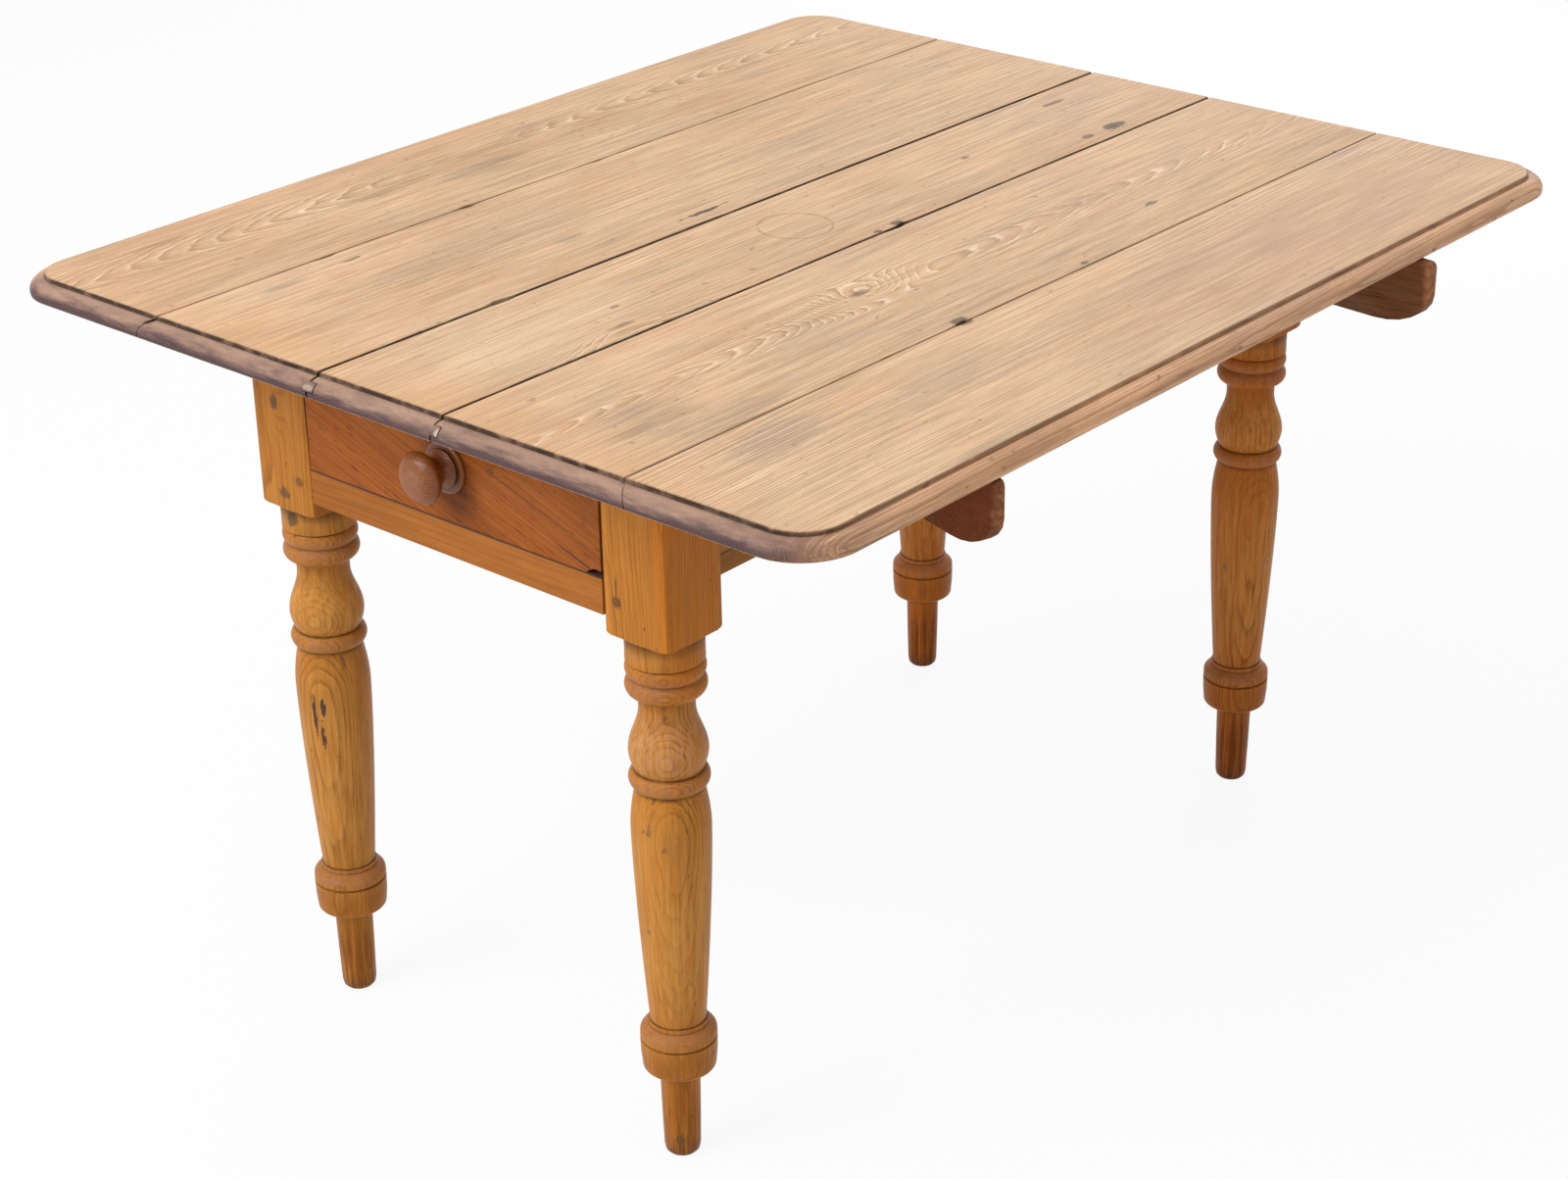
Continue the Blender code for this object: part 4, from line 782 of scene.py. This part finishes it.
right_leaf_wood = scrubbed(
    "scrubbed_leaf_right",
    {"board": 5.0, "pith": (0.22, 0.60), "lean": 0.015, "rings": 330.0},
    ((0.40, -0.47, 0.17, 0.17),),
    (
        ("Patch", 0.35, -0.45, 0.045, 0.08, 1.6, GREY, 0.5),
        ("Patch", 0.375, -0.27, 0.04, 0.14, 1.8, GREY, 0.42),
        ("Patch", 0.413, 0.20, 0.010, 0.12, 1.0, BROWN, 0.4),
        ("Crack", 0.304, -0.136, 0.004, 0.011, 1.0, BLACK, 0.6),
        ("Patch", 0.45, 0.10, 0.03, 0.4, 1.6, BISCUIT, 0.3),
        ("Patch", 0.41, 0.22, 0.13, 0.50, 0.6, TAN, 0.62),
    ),
)
lay(
    "leaf_board_right",
    "leaf_right",
    "leaf_right",
    right_leaf_wood,
    rule_hollow(),
    outer_edge(),
    ((-0.136, 0.0015, 0.009, -1),),
    hinge_cutter("right", leaf_bed()),
)
bpy.data.objects.remove(blank)

# Iron table hinges: two under each rule joint, let into the underside flush, with plain pins; the
# swinging brackets turn on iron pins too. All of it is forged, dull and browned by rust.
IRON_GREY = (0.11, 0.10, 0.095)
RUST = (0.16, 0.062, 0.028)
iron, iron_tree, iron_surface = new_finish("browned_iron")
iron_place = node(iron_tree, "TexCoord").outputs["Object"]
pits = cloudy(iron_place, (160.0, 160.0, 160.0), 1.0, 5.0, 0.65)
rusted = between(pits, 0.42, 0.62)
iron_looks = {
    "Base Color": mixed(rusted, IRON_GREY, RUST),
    "Metallic": between(rusted, 0.0, 1.0, 0.9, 0.15),
    "Roughness": between(pits, 0.3, 0.7, 0.42, 0.85),
    "Normal": bumped(pits, 0.6, 0.0004),
}
feed(iron_surface, iron_looks)


def dress(solid, material):
    """Finishes a solid that is shown as it was modelled."""
    solid.data.materials.clear()
    solid.data.materials.append(material)


for name, solid in solids.items():
    if name.startswith(("hinge_", "bracket_pin_")):
        dress(solid, iron)

# The legs are turned from three-inch pine squares: a block left square at the top, a ringed neck,
# a vase between rings, a swelling column, a collar and a plain foot. They are waxed to a honey
# colour, with old wax and dirt in the quirks of the turning, which are darkened with painted shade
# as well, and the feet have gone dark.
LEG_SIDES = 96
SQUARENESS = 17  # the higher, the sharper the corners of the block
LEG_DENT, LEG_PROUD = 0.0005, 0.0002
QUIRK_DEPTH = 0.0014  # a hollow this deep is darkened fully: dirt and painted shade


def sweep(start, end, steps, ease):
    """Profile points from one (radius, height) to another, without the first."""
    shares = [i / steps for i in range(1, steps + 1)]
    return [(start[0] + (end[0] - start[0]) * ease(t), start[1] + (end[1] - start[1]) * t) for t in shares]


def bead(top, bottom, edge, full, steps=9):
    shares = [i / steps for i in range(steps + 1)]
    return [(edge + (full - edge) * math.sin(math.pi * t) ** 0.7, top + (bottom - top) * t) for t in shares]


def out_round(t):
    return math.sin(math.pi * t / 2)


def in_round(t):
    return 1 - math.cos(math.pi * t / 2)


def wave(t):
    return (1 - math.cos(math.pi * t)) / 2


def leg_profile(block_top, past_corner):
    """Radius and height of the leg, from the top of its block to the floor."""
    block = [(past_corner, block_top), (past_corner, 0.69), (past_corner, 0.64), (past_corner, 0.60)]
    block += [(0.0552, 0.5630), *sweep((0.0552, 0.5630), (0.0490, 0.5592), 5, in_round)]
    neck = [(0.0386, 0.5586), (0.0367, 0.5580), (0.0364, 0.5450), (0.0366, 0.5334)]
    beads = bead(0.5325, 0.5166, 0.0338, 0.0372) + bead(0.5154, 0.4995, 0.0342, 0.0378)
    vase = [(0.0310, 0.4990), *sweep((0.0310, 0.4990), (0.0262, 0.4930), 4, out_round), (0.0261, 0.4840)]
    vase += sweep((0.0261, 0.4840), (0.0369, 0.4405), 12, wave)
    vase += sweep((0.0369, 0.4405), (0.0319, 0.4212), 6, in_round)
    ring = bead(0.4200, 0.4048, 0.0345, 0.0378)
    column = [(0.0318, 0.4043), *sweep((0.0318, 0.4043), (0.0375, 0.3600), 8, out_round)]
    column += sweep((0.0375, 0.3600), (0.0269, 0.1545), 14, lambda t: t**1.45)
    collar = [(0.0268, 0.1520), (0.0284, 0.1516), (0.0284, 0.1478), (0.0280, 0.1472), (0.0292, 0.1467)]
    collar += sweep((0.0292, 0.1467), (0.0366, 0.1385), 7, out_round)
    collar += [(0.0368, 0.1330), (0.0351, 0.1320), (0.0351, 0.1308), (0.0368, 0.1298), (0.0365, 0.1160)]
    collar += [(0.0352, 0.1015), *sweep((0.0352, 0.1015), (0.0195, 0.0915), 8, in_round)]
    foot = [(0.0193, 0.0890), (0.0185, 0.0450), (0.0176, 0.0085), (0.0166, 0.0028), (0.0140, 0.0)]
    return block + neck + beads + vase + ring + column + collar + foot


def turned(name, rings, sides, spot, crease):
    """A turned shape with a ring for each (radius, distance along, darkening for dirt and painted shade);
    spot places its points.
    """
    shape = bmesh.new()
    grime_and_shade = shape.verts.layers.float.new("grime_and_shade")
    turns = [2 * math.pi * i / sides for i in range(sides)]
    skin = []
    for radius, along, dirt_and_shade in rings:
        ring = [shape.verts.new(spot(radius, along, math.cos(t), math.sin(t))) for t in turns]
        for vertex in ring:
            vertex[grime_and_shade] = dirt_and_shade
        skin.append(ring)
    loft(shape, skin)
    return mesh_of(shape, name, crease)


def leg_mesh(name, low, high):
    """The turned leg, square where the stock was left square, with its edges worn round."""
    x, y = (low.x + high.x) / 2, (low.y + high.y) / 2
    half = (high.x - low.x) / 2
    profile = leg_profile(high.z, half * 2)
    rings = []
    for (radius, z), before, after in zip(profile, profile[:1] + profile, profile[1:] + profile[-1:]):
        # The hollows of the turning are darkened by their depth: old wax and dirt, and painted shade.
        dirt_and_shade = 0.0
        if radius < half and 0.01 < z:
            share = (z - before[1]) / (after[1] - before[1])
            chord = before[0] + (after[0] - before[0]) * share
            dirt_and_shade = 0.75 * min(1.0, max(0.0, (chord - radius) / QUIRK_DEPTH))
        rings.append((radius, z, dirt_and_shade))

    def spot(radius, z, c, s):
        square = half / (abs(c) ** SQUARENESS + abs(s) ** SQUARENESS) ** (1 / SQUARENESS)
        dent = max(noise.noise((x * 9 + c * 3, y * 9 + s * 3, z * 22)) * LEG_DENT, -LEG_PROUD)
        distance = min(radius, square - dent)
        return x + c * distance, y + s * distance, z

    return turned(name, rings, LEG_SIDES, spot, 38)


HONEY = ((0.50, 0.195, 0.030), (0.42, 0.145, 0.018), (0.60, 0.28, 0.060), (0.22, 0.070, 0.010))
MID_HONEY = ((0.45, 0.177, 0.028), (0.37, 0.130, 0.017), (0.55, 0.25, 0.055), (0.20, 0.064, 0.010))
DARK_HONEY = ((0.46, 0.136, 0.016), (0.37, 0.094, 0.009), (0.54, 0.19, 0.031), (0.18, 0.046, 0.005))
ROSE = (0.36, 0.155, 0.080)
TAWNY = (0.265, 0.086, 0.016)
PAINTED_LIGHT_BUTTER = (0.63, 0.32, 0.085)
SHEEN_STRAW = (0.60, 0.335, 0.165)
SHADE_AMBER = (0.57, 0.172, 0.013)
SOOTY = (0.20, 0.058, 0.005)
BURNT = (0.125, 0.029, 0.003)
AROUND = 0.08  # a band this wide takes in the whole leg
for place, pith, lean, colours in (
    ("front_left", (-0.258, -0.40), 0.03, MID_HONEY),
    ("front_right", (0.175, -0.42), -0.03, HONEY),
    ("back_left", (-0.29, 0.54), 0.02, DARK_HONEY),
    ("back_right", (0.17, 0.53), 0.03, DARK_HONEY),
):
    leg_low, leg_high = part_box(f"leg_{place}")
    leg_x, leg_y = (leg_low.x + leg_high.x) / 2, (leg_low.y + leg_high.y) / 2
    marks = []
    # Bands round the leg. The pale bands on the column, the vase and the neck are painted light: sheen on
    # the turning, and light on the neck in the shade of the block.
    for z, tall, tint, share in (
        (0.26, 0.19, PAINTED_LIGHT_BUTTER, 0.55),
        (0.45, 0.05, SHEEN_STRAW if place == "front_right" else PAINTED_LIGHT_BUTTER, 0.6),
        (0.545, 0.016, PAINTED_LIGHT_BUTTER, 0.4),
        (0.516, 0.021, ROSE, 0.8),
        (0.412, 0.012, ROSE, 0.75),
        (0.1425, 0.013, ROSE, 0.8),
        (0.112, 0.028, TAWNY, 0.75),
        (0.03, 0.075, SOOTY if place.startswith("front") else BURNT, 0.9),
        (0.0, 0.025, BLACK, 0.5),
    ):
        marks.append(("Patch", (leg_x, z, leg_y), (AROUND, tall, AROUND), 0.6, tint, share))
    knots = ()
    if place.startswith("front"):
        peg_low, peg_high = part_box(f"peg_{place}_1")
        peg = Vector(((peg_low.x + peg_high.x) / 2, (peg_low.z + peg_high.z) / 2, leg_low.y))
        # A dark ring round the peg where it stands proud of the block: painted shadow.
        marks.append(("Rim", peg, (0.0064, 0.0064, SKIN), 0.0, BLACK, 0.9))
        # A dark line down the block beside the drawer front: painted shadow in the gap.
        shadow_beside_drawer = (leg_high.x if place == "front_left" else leg_low.x, 0.672, leg_low.y)
        marks.append(("Crack", shadow_beside_drawer, (0.0019, 0.085, SKIN), 0.2, BLACK, 0.85))
    if place == "front_right":
        marks.append(("Crack", peg + Vector((0, 0.014, 0)), (0.0012, 0.012, SKIN), 0.6, BLACK, 0.8))
        # The right face of the front right block is tinted redder, as it looks in shade: painted shade.
        shaded_right_face = (leg_high.x, 0.64, leg_y)
        marks.append(("Patch", shaded_right_face, (0.022, 0.26, 0.11), 0.4, SHADE_AMBER, 0.75))
        foot_knot = (leg_x + 0.0106, 0.0215, leg_y - 0.0146)
        marks.append(("Crack", foot_knot, (0.0042, 0.0052, 0.006), 2.2, KNOT, 0.7))
    if place == "front_left":
        knots = (((leg_x - 0.006, 0.670, leg_low.y), (0.016, 0.03, 0.03), 0.008),)
        for across, z, wide, tall in (
            (-0.006, 0.670, 0.0062, 0.0105),
            (-0.002, 0.576, 0.0085, 0.0075),
            (0.003, 0.549, 0.0080, 0.0100),
        ):
            marks.append(("Crack", (leg_x + across, z, leg_low.y), (wide, tall, SKIN), 1.3, KNOT, 0.85))
        for across, z, tall in ((0.010, 0.334, 0.024), (0.016, 0.310, 0.018), (0.019, 0.346, 0.010)):
            crack = (leg_x + across, z, leg_low.y)
            marks.append(("Crack", crack, (0.0024, tall, 2 * SKIN), 2.0, BLACK, 0.9))
    wood = pine(
        f"waxed_leg_{place}",
        {"axes": "xzy", "board": 10 + 7 * leg_x, "pith": pith, "lean": lean, "rings": 420.0, "fading": 0.75},
        colours,
        (0.45, 0.85),
        (0.48, 0.32),
        knots=knots,
        stains=marks,
        shine=0.09,
        specks=0.75,
    )
    leg_name = f"turned_leg_{place}"
    piece(leg_name, leg_mesh(leg_name, leg_low, leg_high), "frame", "waxed_pine", (wood,), f"leg_{place}")

# Rails: each long side is double, an inner rail with the fly rail planted on it, and the ends have
# a rail under the drawer and one at the back. All are tenoned into the leg blocks; their outsides
# are waxed like the legs, and the thin upper rail over the drawer is left bare.
SAME_POINT = 0.000002
RAIL_EASE = 0.0012
SIDE_RAIL_EASE = 0.0007


def eased_copy(solid, name, ease):
    """The solid with its edges worn round by this much."""
    shape = bmesh.new()
    shape.from_mesh(solids[solid].data)
    bmesh.ops.remove_doubles(shape, verts=shape.verts, dist=SAME_POINT)
    bmesh.ops.dissolve_limit(shape, angle_limit=math.radians(1), verts=shape.verts, edges=shape.edges)
    sharp = [edge for edge in shape.edges if edge.calc_face_angle(0) > math.radians(32)]
    rounding = {"segments": 2, "profile": 0.6, "affect": "EDGES", "clamp_overlap": True}
    bmesh.ops.bevel(shape, geom=sharp, offset=ease, **rounding)
    mesh = mesh_of(shape, name, 25)
    if "custom_normal" in mesh.attributes:
        mesh.attributes.remove(mesh.attributes["custom_normal"])
    return mesh


def eased_piece(name, solid, ease, body, slot, wood):
    """Sets a worn copy of a solid in its place."""
    piece(name, eased_copy(solid, name, ease), body, slot, (wood,), solid)


RAIL_GLOSS = (0.52, 0.36)
rail_low, rail_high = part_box("front_lower_rail")
# A dark line along the top of the lower rail, under the drawer front: painted shadow in the gap.
SHADOW_UNDER_DRAWER = (rail_high.z, 0.0, rail_low.y)
lower_rail_wood = pine(
    "waxed_lower_rail",
    {"axes": "zxy", "board": 21.0, "pith": (0.68, -0.62), "lean": 0.02, "rings": 260.0, "fading": 0.9},
    ((0.39, 0.135, 0.022), (0.32, 0.098, 0.013), (0.46, 0.18, 0.035), (0.20, 0.063, 0.009)),
    (0.3, 0.5),
    RAIL_GLOSS,
    stains=(("Crack", SHADOW_UNDER_DRAWER, (0.0019, 0.6, SKIN), 0.2, BLACK, 0.85),),
)
eased_piece("rail_front_lower", "front_lower_rail", RAIL_EASE, "frame", "waxed_pine", lower_rail_wood)
back_rail_wood = pine(
    "waxed_back_rail",
    {"axes": "zxy", "board": 23.0, "pith": (0.64, 0.45), "lean": 0.03, "rings": 230.0},
    DARK_HONEY,
    (0.3, 0.7),
    RAIL_GLOSS,
)
eased_piece("rail_back", "back_rail", RAIL_EASE, "frame", "waxed_pine", back_rail_wood)
# A dark line along the side rails at the lower edge of the fly rail: painted shadow under its step.
SHADOW_UNDER_FLY_RAIL = (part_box("fly_rail_right")[0].z, 0.0, 0.0)
side_rail_wood = pine(
    "waxed_side_rail",
    {"axes": "zyx", "board": 22.0, "pith": (0.60, 0.40), "lean": 0.02, "rings": 240.0},
    ((0.41, 0.165, 0.027), (0.31, 0.112, 0.016), (0.49, 0.21, 0.045), (0.19, 0.064, 0.010)),
    (0.3, 0.7),
    RAIL_GLOSS,
    stains=(("Crack", SHADOW_UNDER_FLY_RAIL, (0.0034, 1.5, 1.0), 0.3, BLACK, 0.75),),
)
for rail in ("side_rail_left", "side_rail_right", "fly_rail_left", "fly_rail_right"):
    eased_piece(f"waxed_{rail}", rail, SIDE_RAIL_EASE, "frame", "waxed_pine", side_rail_wood)
bare_across = bare("bare_pine_across", "zxy", 24.0, (0.80, -0.50))
dress(solids["front_upper_rail"], bare_across)

# Pegs pin the tenons of the end rails: whittled pine, driven through the leg blocks and cut off
# just proud, so that their end grain shows as a dark dot.
peg_wood = pine(
    "peg_end_grain",
    {"axes": "xyz", "board": 30.0, "pith": (0.0, 0.60), "lean": 0.0, "rings": 900.0},
    ((0.27, 0.095, 0.020), (0.20, 0.070, 0.015), (0.32, 0.12, 0.03), (0.12, 0.040, 0.010)),
    (0.3, 0.8),
    RAIL_GLOSS,
)
for peg_node in [name for name in solids if name.startswith("peg_")]:
    eased_piece(f"driven_{peg_node}", peg_node, RAIL_EASE, "frame", "waxed_pine", peg_wood)

# Brackets swing out of the fly rail to hold a leaf. Each is a thin board with a swept-up nose and a
# wooden knuckle on an iron pin; the wood is dry and dark, paler where its end is cut.
DRY = ((0.215, 0.080, 0.028), (0.185, 0.055, 0.016), (0.30, 0.14, 0.060), (0.085, 0.030, 0.012))
RED_DRY = ((0.205, 0.058, 0.017), (0.175, 0.040, 0.010), (0.285, 0.100, 0.036), (0.080, 0.022, 0.007))
SAWN = (0.42, 0.185, 0.088)
RED_BROWN = (0.19, 0.066, 0.028)
GREY_BROWN = (0.24, 0.155, 0.095)
for side, axes, long_way, thin_way in (("left", "zyx", 1, 0), ("right", "zxy", 0, 1)):
    for end, colours, weathered in (("front", RED_DRY, RED_BROWN), ("back", DRY, GREY_BROWN)):
        bracket = f"bracket_{side}_{end}"
        low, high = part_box(bracket)
        middle = (low + high) / 2
        pin_low, pin_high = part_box(f"bracket_pin_{side}_{end}")
        below_pin, above_pin = pin_low[long_way] - low[long_way], high[long_way] - pin_high[long_way]
        nose = low if below_pin > above_pin else high
        sawn_end = (middle.z, nose[long_way], middle[thin_way])
        bracket_wood = pine(
            f"dry_{bracket}",
            {"axes": axes, "board": 31.0, "pith": (0.60, 0.0), "lean": 0.05, "rings": 420.0, "fading": 1.0},
            colours,
            (0.35, 0.6),
            (0.75, 0.58),
            relief=0.9,
            pores=0.6,
            weathered=weathered,
            stains=(("Patch", sawn_end, (0.08, 0.010, 0.08), 1.0, SAWN, 0.9),),
        )
        eased_piece(f"swing_{bracket}", bracket, RAIL_EASE, bracket, "dark_bracket", bracket_wood)

# The drawer front is a redder board whose grain slopes across it, with a corner broken off below;
# the sides, back and bottom are thin bare pine, dovetailed and grooved together behind it.
front_low, front_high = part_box("drawer_front")
KNOB_HEIGHT = (front_low.z + front_high.z) / 2
SLOPE = 0.33  # fall of the grain toward the right
HANDLED = (KNOB_HEIGHT - 0.004, 0.004, front_low.y)
KNOT_X = 0.0555
DRAWER_KNOT = (KNOB_HEIGHT + 0.010 + SLOPE * KNOT_X, KNOT_X, front_low.y)
HANDLED_BROWN = (0.085, 0.026, 0.009)
SPLIT_X = 0.105
SPLIT = (KNOB_HEIGHT - 0.006 + SLOPE * SPLIT_X, SPLIT_X, front_low.y)
CHIP_X = front_high.x - 0.03
CHIP_CRACK = (front_low.z + 0.010 + SLOPE * CHIP_X, CHIP_X, front_low.y)
# The lower right corner of the drawer front, broken off, is painted black: painted shade in the chip.
SHADED_CHIP = (front_low.z + SLOPE * front_high.x, front_high.x, front_low.y)
drawer_front_wood = pine(
    "red_drawer_front",
    {"axes": "zxy", "board": 33.0, "pith": (0.50, -0.56), "lean": 0.02, "rings": 170.0, "slope": SLOPE},
    ((0.36, 0.103, 0.017), (0.29, 0.072, 0.010), (0.43, 0.155, 0.035), (0.12, 0.029, 0.007)),
    (0.3, 0.32),
    RAIL_GLOSS,
    pores=0.9,
    weathered=(0.22, 0.062, 0.013),
    specks=0.8,
    shine=0.08,
    knots=((DRAWER_KNOT, (0.012, 0.016, 0.03), 0.012),),
    stains=(
        ("Patch", HANDLED, (0.042, 0.048, SKIN), 0.6, HANDLED_BROWN, 0.85),
        ("Crack", SPLIT, (0.0009, 0.060, SKIN), 0.8, BLACK, 0.55),
        ("Crack", CHIP_CRACK, (0.0012, 0.030, SKIN), 0.9, BLACK, 0.8),
        ("Crack", SHADED_CHIP, (0.0075, 0.010, SKIN), 0.5, BLACK, 0.9),
    ),
)
DRAWER_EASE = 0.0010
eased_piece("drawer_face", "drawer_front", DRAWER_EASE, "drawer", "red_pine", drawer_front_wood)
bare_along = bare("bare_pine_along", "zyx", 34.0, (0.80, 0.10))
for name in ("drawer_side_left", "drawer_side_right"):
    dress(solids[name], bare_along)
dress(solids["drawer_back"], bare_across)
dress(solids["drawer_bottom"], bare_flat)

# The knob is a turned mushroom on a moulded flange, dark with handling and worn to a polish on its
# face, where a paler patch is both wear and a painted highlight; a round stem holds it in the drawer
# front.
knob_low, knob_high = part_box("drawer_knob")
KNOB_PLACE = Vector(((knob_low.x + knob_high.x) / 2, front_low.y, (knob_low.z + knob_high.z) / 2))
KNOB_SIDES = 48


def knob_mesh():
    """Lathe profile of (radius, distance out from the drawer), from the face back to the stem."""
    face = [(0.0001, 0.0438), (0.008, 0.0435), (0.015, 0.0425), (0.0195, 0.0408)]
    head = sweep((0.0195, 0.0408), (0.0255, 0.0330), 8, out_round)
    head += sweep((0.0255, 0.0330), (0.0125, 0.0188), 10, in_round)
    neck = [(0.0122, 0.0150), *sweep((0.0122, 0.0150), (0.0185, 0.0072), 6, in_round)]
    flange = [(0.0190, 0.0068), (0.0190, 0.0052), (0.0186, 0.0049), (0.0232, 0.0048)]
    flange += sweep((0.0232, 0.0048), (0.0255, 0.0030), 5, out_round)
    stem = [(0.0255, 0.0004), (0.0070, 0.0003), (0.0070, -0.019), (0.0001, -0.019)]
    rings = []
    for radius, out in face + head + neck + flange + stem:
        # The quirk behind the head is darkened: dirt and painted shade.
        in_quirk = 0.0045 < out < 0.0056 and radius < 0.02
        rings.append((radius, out, 0.9 if in_quirk else 0.0))

    def spot(radius, out, c, s):
        worn = radius * (1 + 0.006 * noise.noise((c, s, out * 40)))
        return KNOB_PLACE + Vector((worn * c, -out, worn * s))

    return turned("turned_knob", rings, KNOB_SIDES, spot, 50)


# A paler, greyer patch on the face of the knob: wear from hands, and a painted highlight.
RUB_AND_HIGHLIGHT = KNOB_PLACE + Vector((0.004, -0.044, 0.004))
RUB_AND_HIGHLIGHT_BROWN = (0.30, 0.16, 0.09)
knob_wood = pine(
    "handled_knob",
    {"axes": "xyz", "board": 36.0, "pith": (0.012, 0.640), "lean": 0.15, "rings": 320.0},
    ((0.27, 0.080, 0.014), (0.19, 0.050, 0.009), (0.32, 0.11, 0.024), (0.10, 0.028, 0.006)),
    (0.3, 0.7),
    (0.40, 0.25),
    relief=0.3,
    shine=0.4,
    stains=(("Patch", RUB_AND_HIGHLIGHT, (0.016, 0.006, 0.016), 1.0, RUB_AND_HIGHLIGHT_BROWN, 0.5),),
)
piece("turned_knob", knob_mesh(), "drawer", "knob_brown", (knob_wood,), "drawer_knob")

# What carries the drawer, out of sight: runners and guides between the legs, kickers above the
# sides, stops behind the front, and the blocks that hold the top down. All are bare sawn pine.
for name, solid in solids.items():
    if name.startswith(("drawer_runner", "drawer_guide", "drawer_kicker", "glue_block")):
        dress(solid, bare_along)
    elif name.startswith("drawer_stop"):
        dress(solid, bare_across)

# A pale studio: a wide white floor that keeps the table's soft shadow, with light from a big soft
# box high on the left of the drawer end and a weaker one behind.
floor_shape = bmesh.new()
bmesh.ops.create_grid(floor_shape, x_segments=1, y_segments=1, size=30)
floor = placed("studio_floor", mesh_of(floor_shape, "studio_floor", CREASE))
floor.location.z = -HAIR


def seen_rays(tree):
    """One for rays that see the white directly, in a reflection or through something."""
    rays = node(tree, "LightPath").outputs
    seen = maths("MAXIMUM", rays["Is Camera Ray"], rays["Is Glossy Ray"])
    return maths("MAXIMUM", seen, rays["Is Transmission Ray"])


white, white_tree, white_paint = new_finish("white_floor")
feed(white_paint, {"Base Color": (0.9, 0.9, 0.9, 1), "Roughness": 0.9, "Specular IOR Level": 0.0})
backdrop = feed(node(white_tree, "Emission"), {"Strength": 1.0})
seen_white = maths("MULTIPLY", seen_rays(white_tree), 0.90)
faded = node(white_tree, "MixShader", seen_white, white_paint.outputs[0], backdrop[0])
fill(white_tree.nodes["Material Output"].inputs["Surface"], faded.outputs[0])
floor.data.materials.append(white)

world = bpy.data.worlds.new("studio")
bpy.context.scene.world = world
world.use_nodes = True
sky = world.node_tree
brightness = between(seen_rays(sky), 0.0, 1.0, 0.60, 1.0)
feed(sky.nodes["Background"], {"Color": (1, 1, 1, 1), "Strength": brightness})


def soft_box(name, place, aim, size, watts):
    lamp = bpy.data.lights.new(name, "AREA")
    lamp.shape = "SQUARE"
    lamp.size = size
    lamp.energy = watts
    stand = placed(name, lamp)
    stand.location = place
    stand.rotation_mode = "QUATERNION"
    stand.rotation_quaternion = (Vector(aim) - Vector(place)).to_track_quat("-Z", "Y")


soft_box("key", (-0.9, -3.3, 3.0), (0, -0.2, 0.5), 2.4, 115)
soft_box("back", (-1.4, 3.4, 2.4), (0, 0.2, 0.5), 2.4, 40)

# The camera stands where the photograph was taken from, solved from the edges of the top, the
# seams, the feet and the rings of the legs.
camera_data = bpy.data.cameras.new("camera")
camera_data.sensor_width = 36.0
camera_data.lens = 71.7546
camera = placed("camera", camera_data)
yaw, pitch, roll = math.radians(41.1538), math.radians(25.7697), math.radians(-1.0136)
ahead = Vector((-math.sin(yaw) * math.cos(pitch), math.cos(yaw) * math.cos(pitch), -math.sin(pitch)))
level = Vector((math.cos(yaw), math.sin(yaw), 0))
upright = level.cross(ahead)
right = level * math.cos(roll) + upright * math.sin(roll)
up = upright * math.cos(roll) - level * math.sin(roll)
camera_turn = Matrix((right, up, -ahead)).transposed().to_4x4()
CAMERA_PLACE = (1.9473, -2.2779, 1.7967)
camera.matrix_world = Matrix.Translation(CAMERA_PLACE) @ camera_turn
bpy.context.scene.camera = camera
bpy.context.scene.view_settings.view_transform = "Standard"
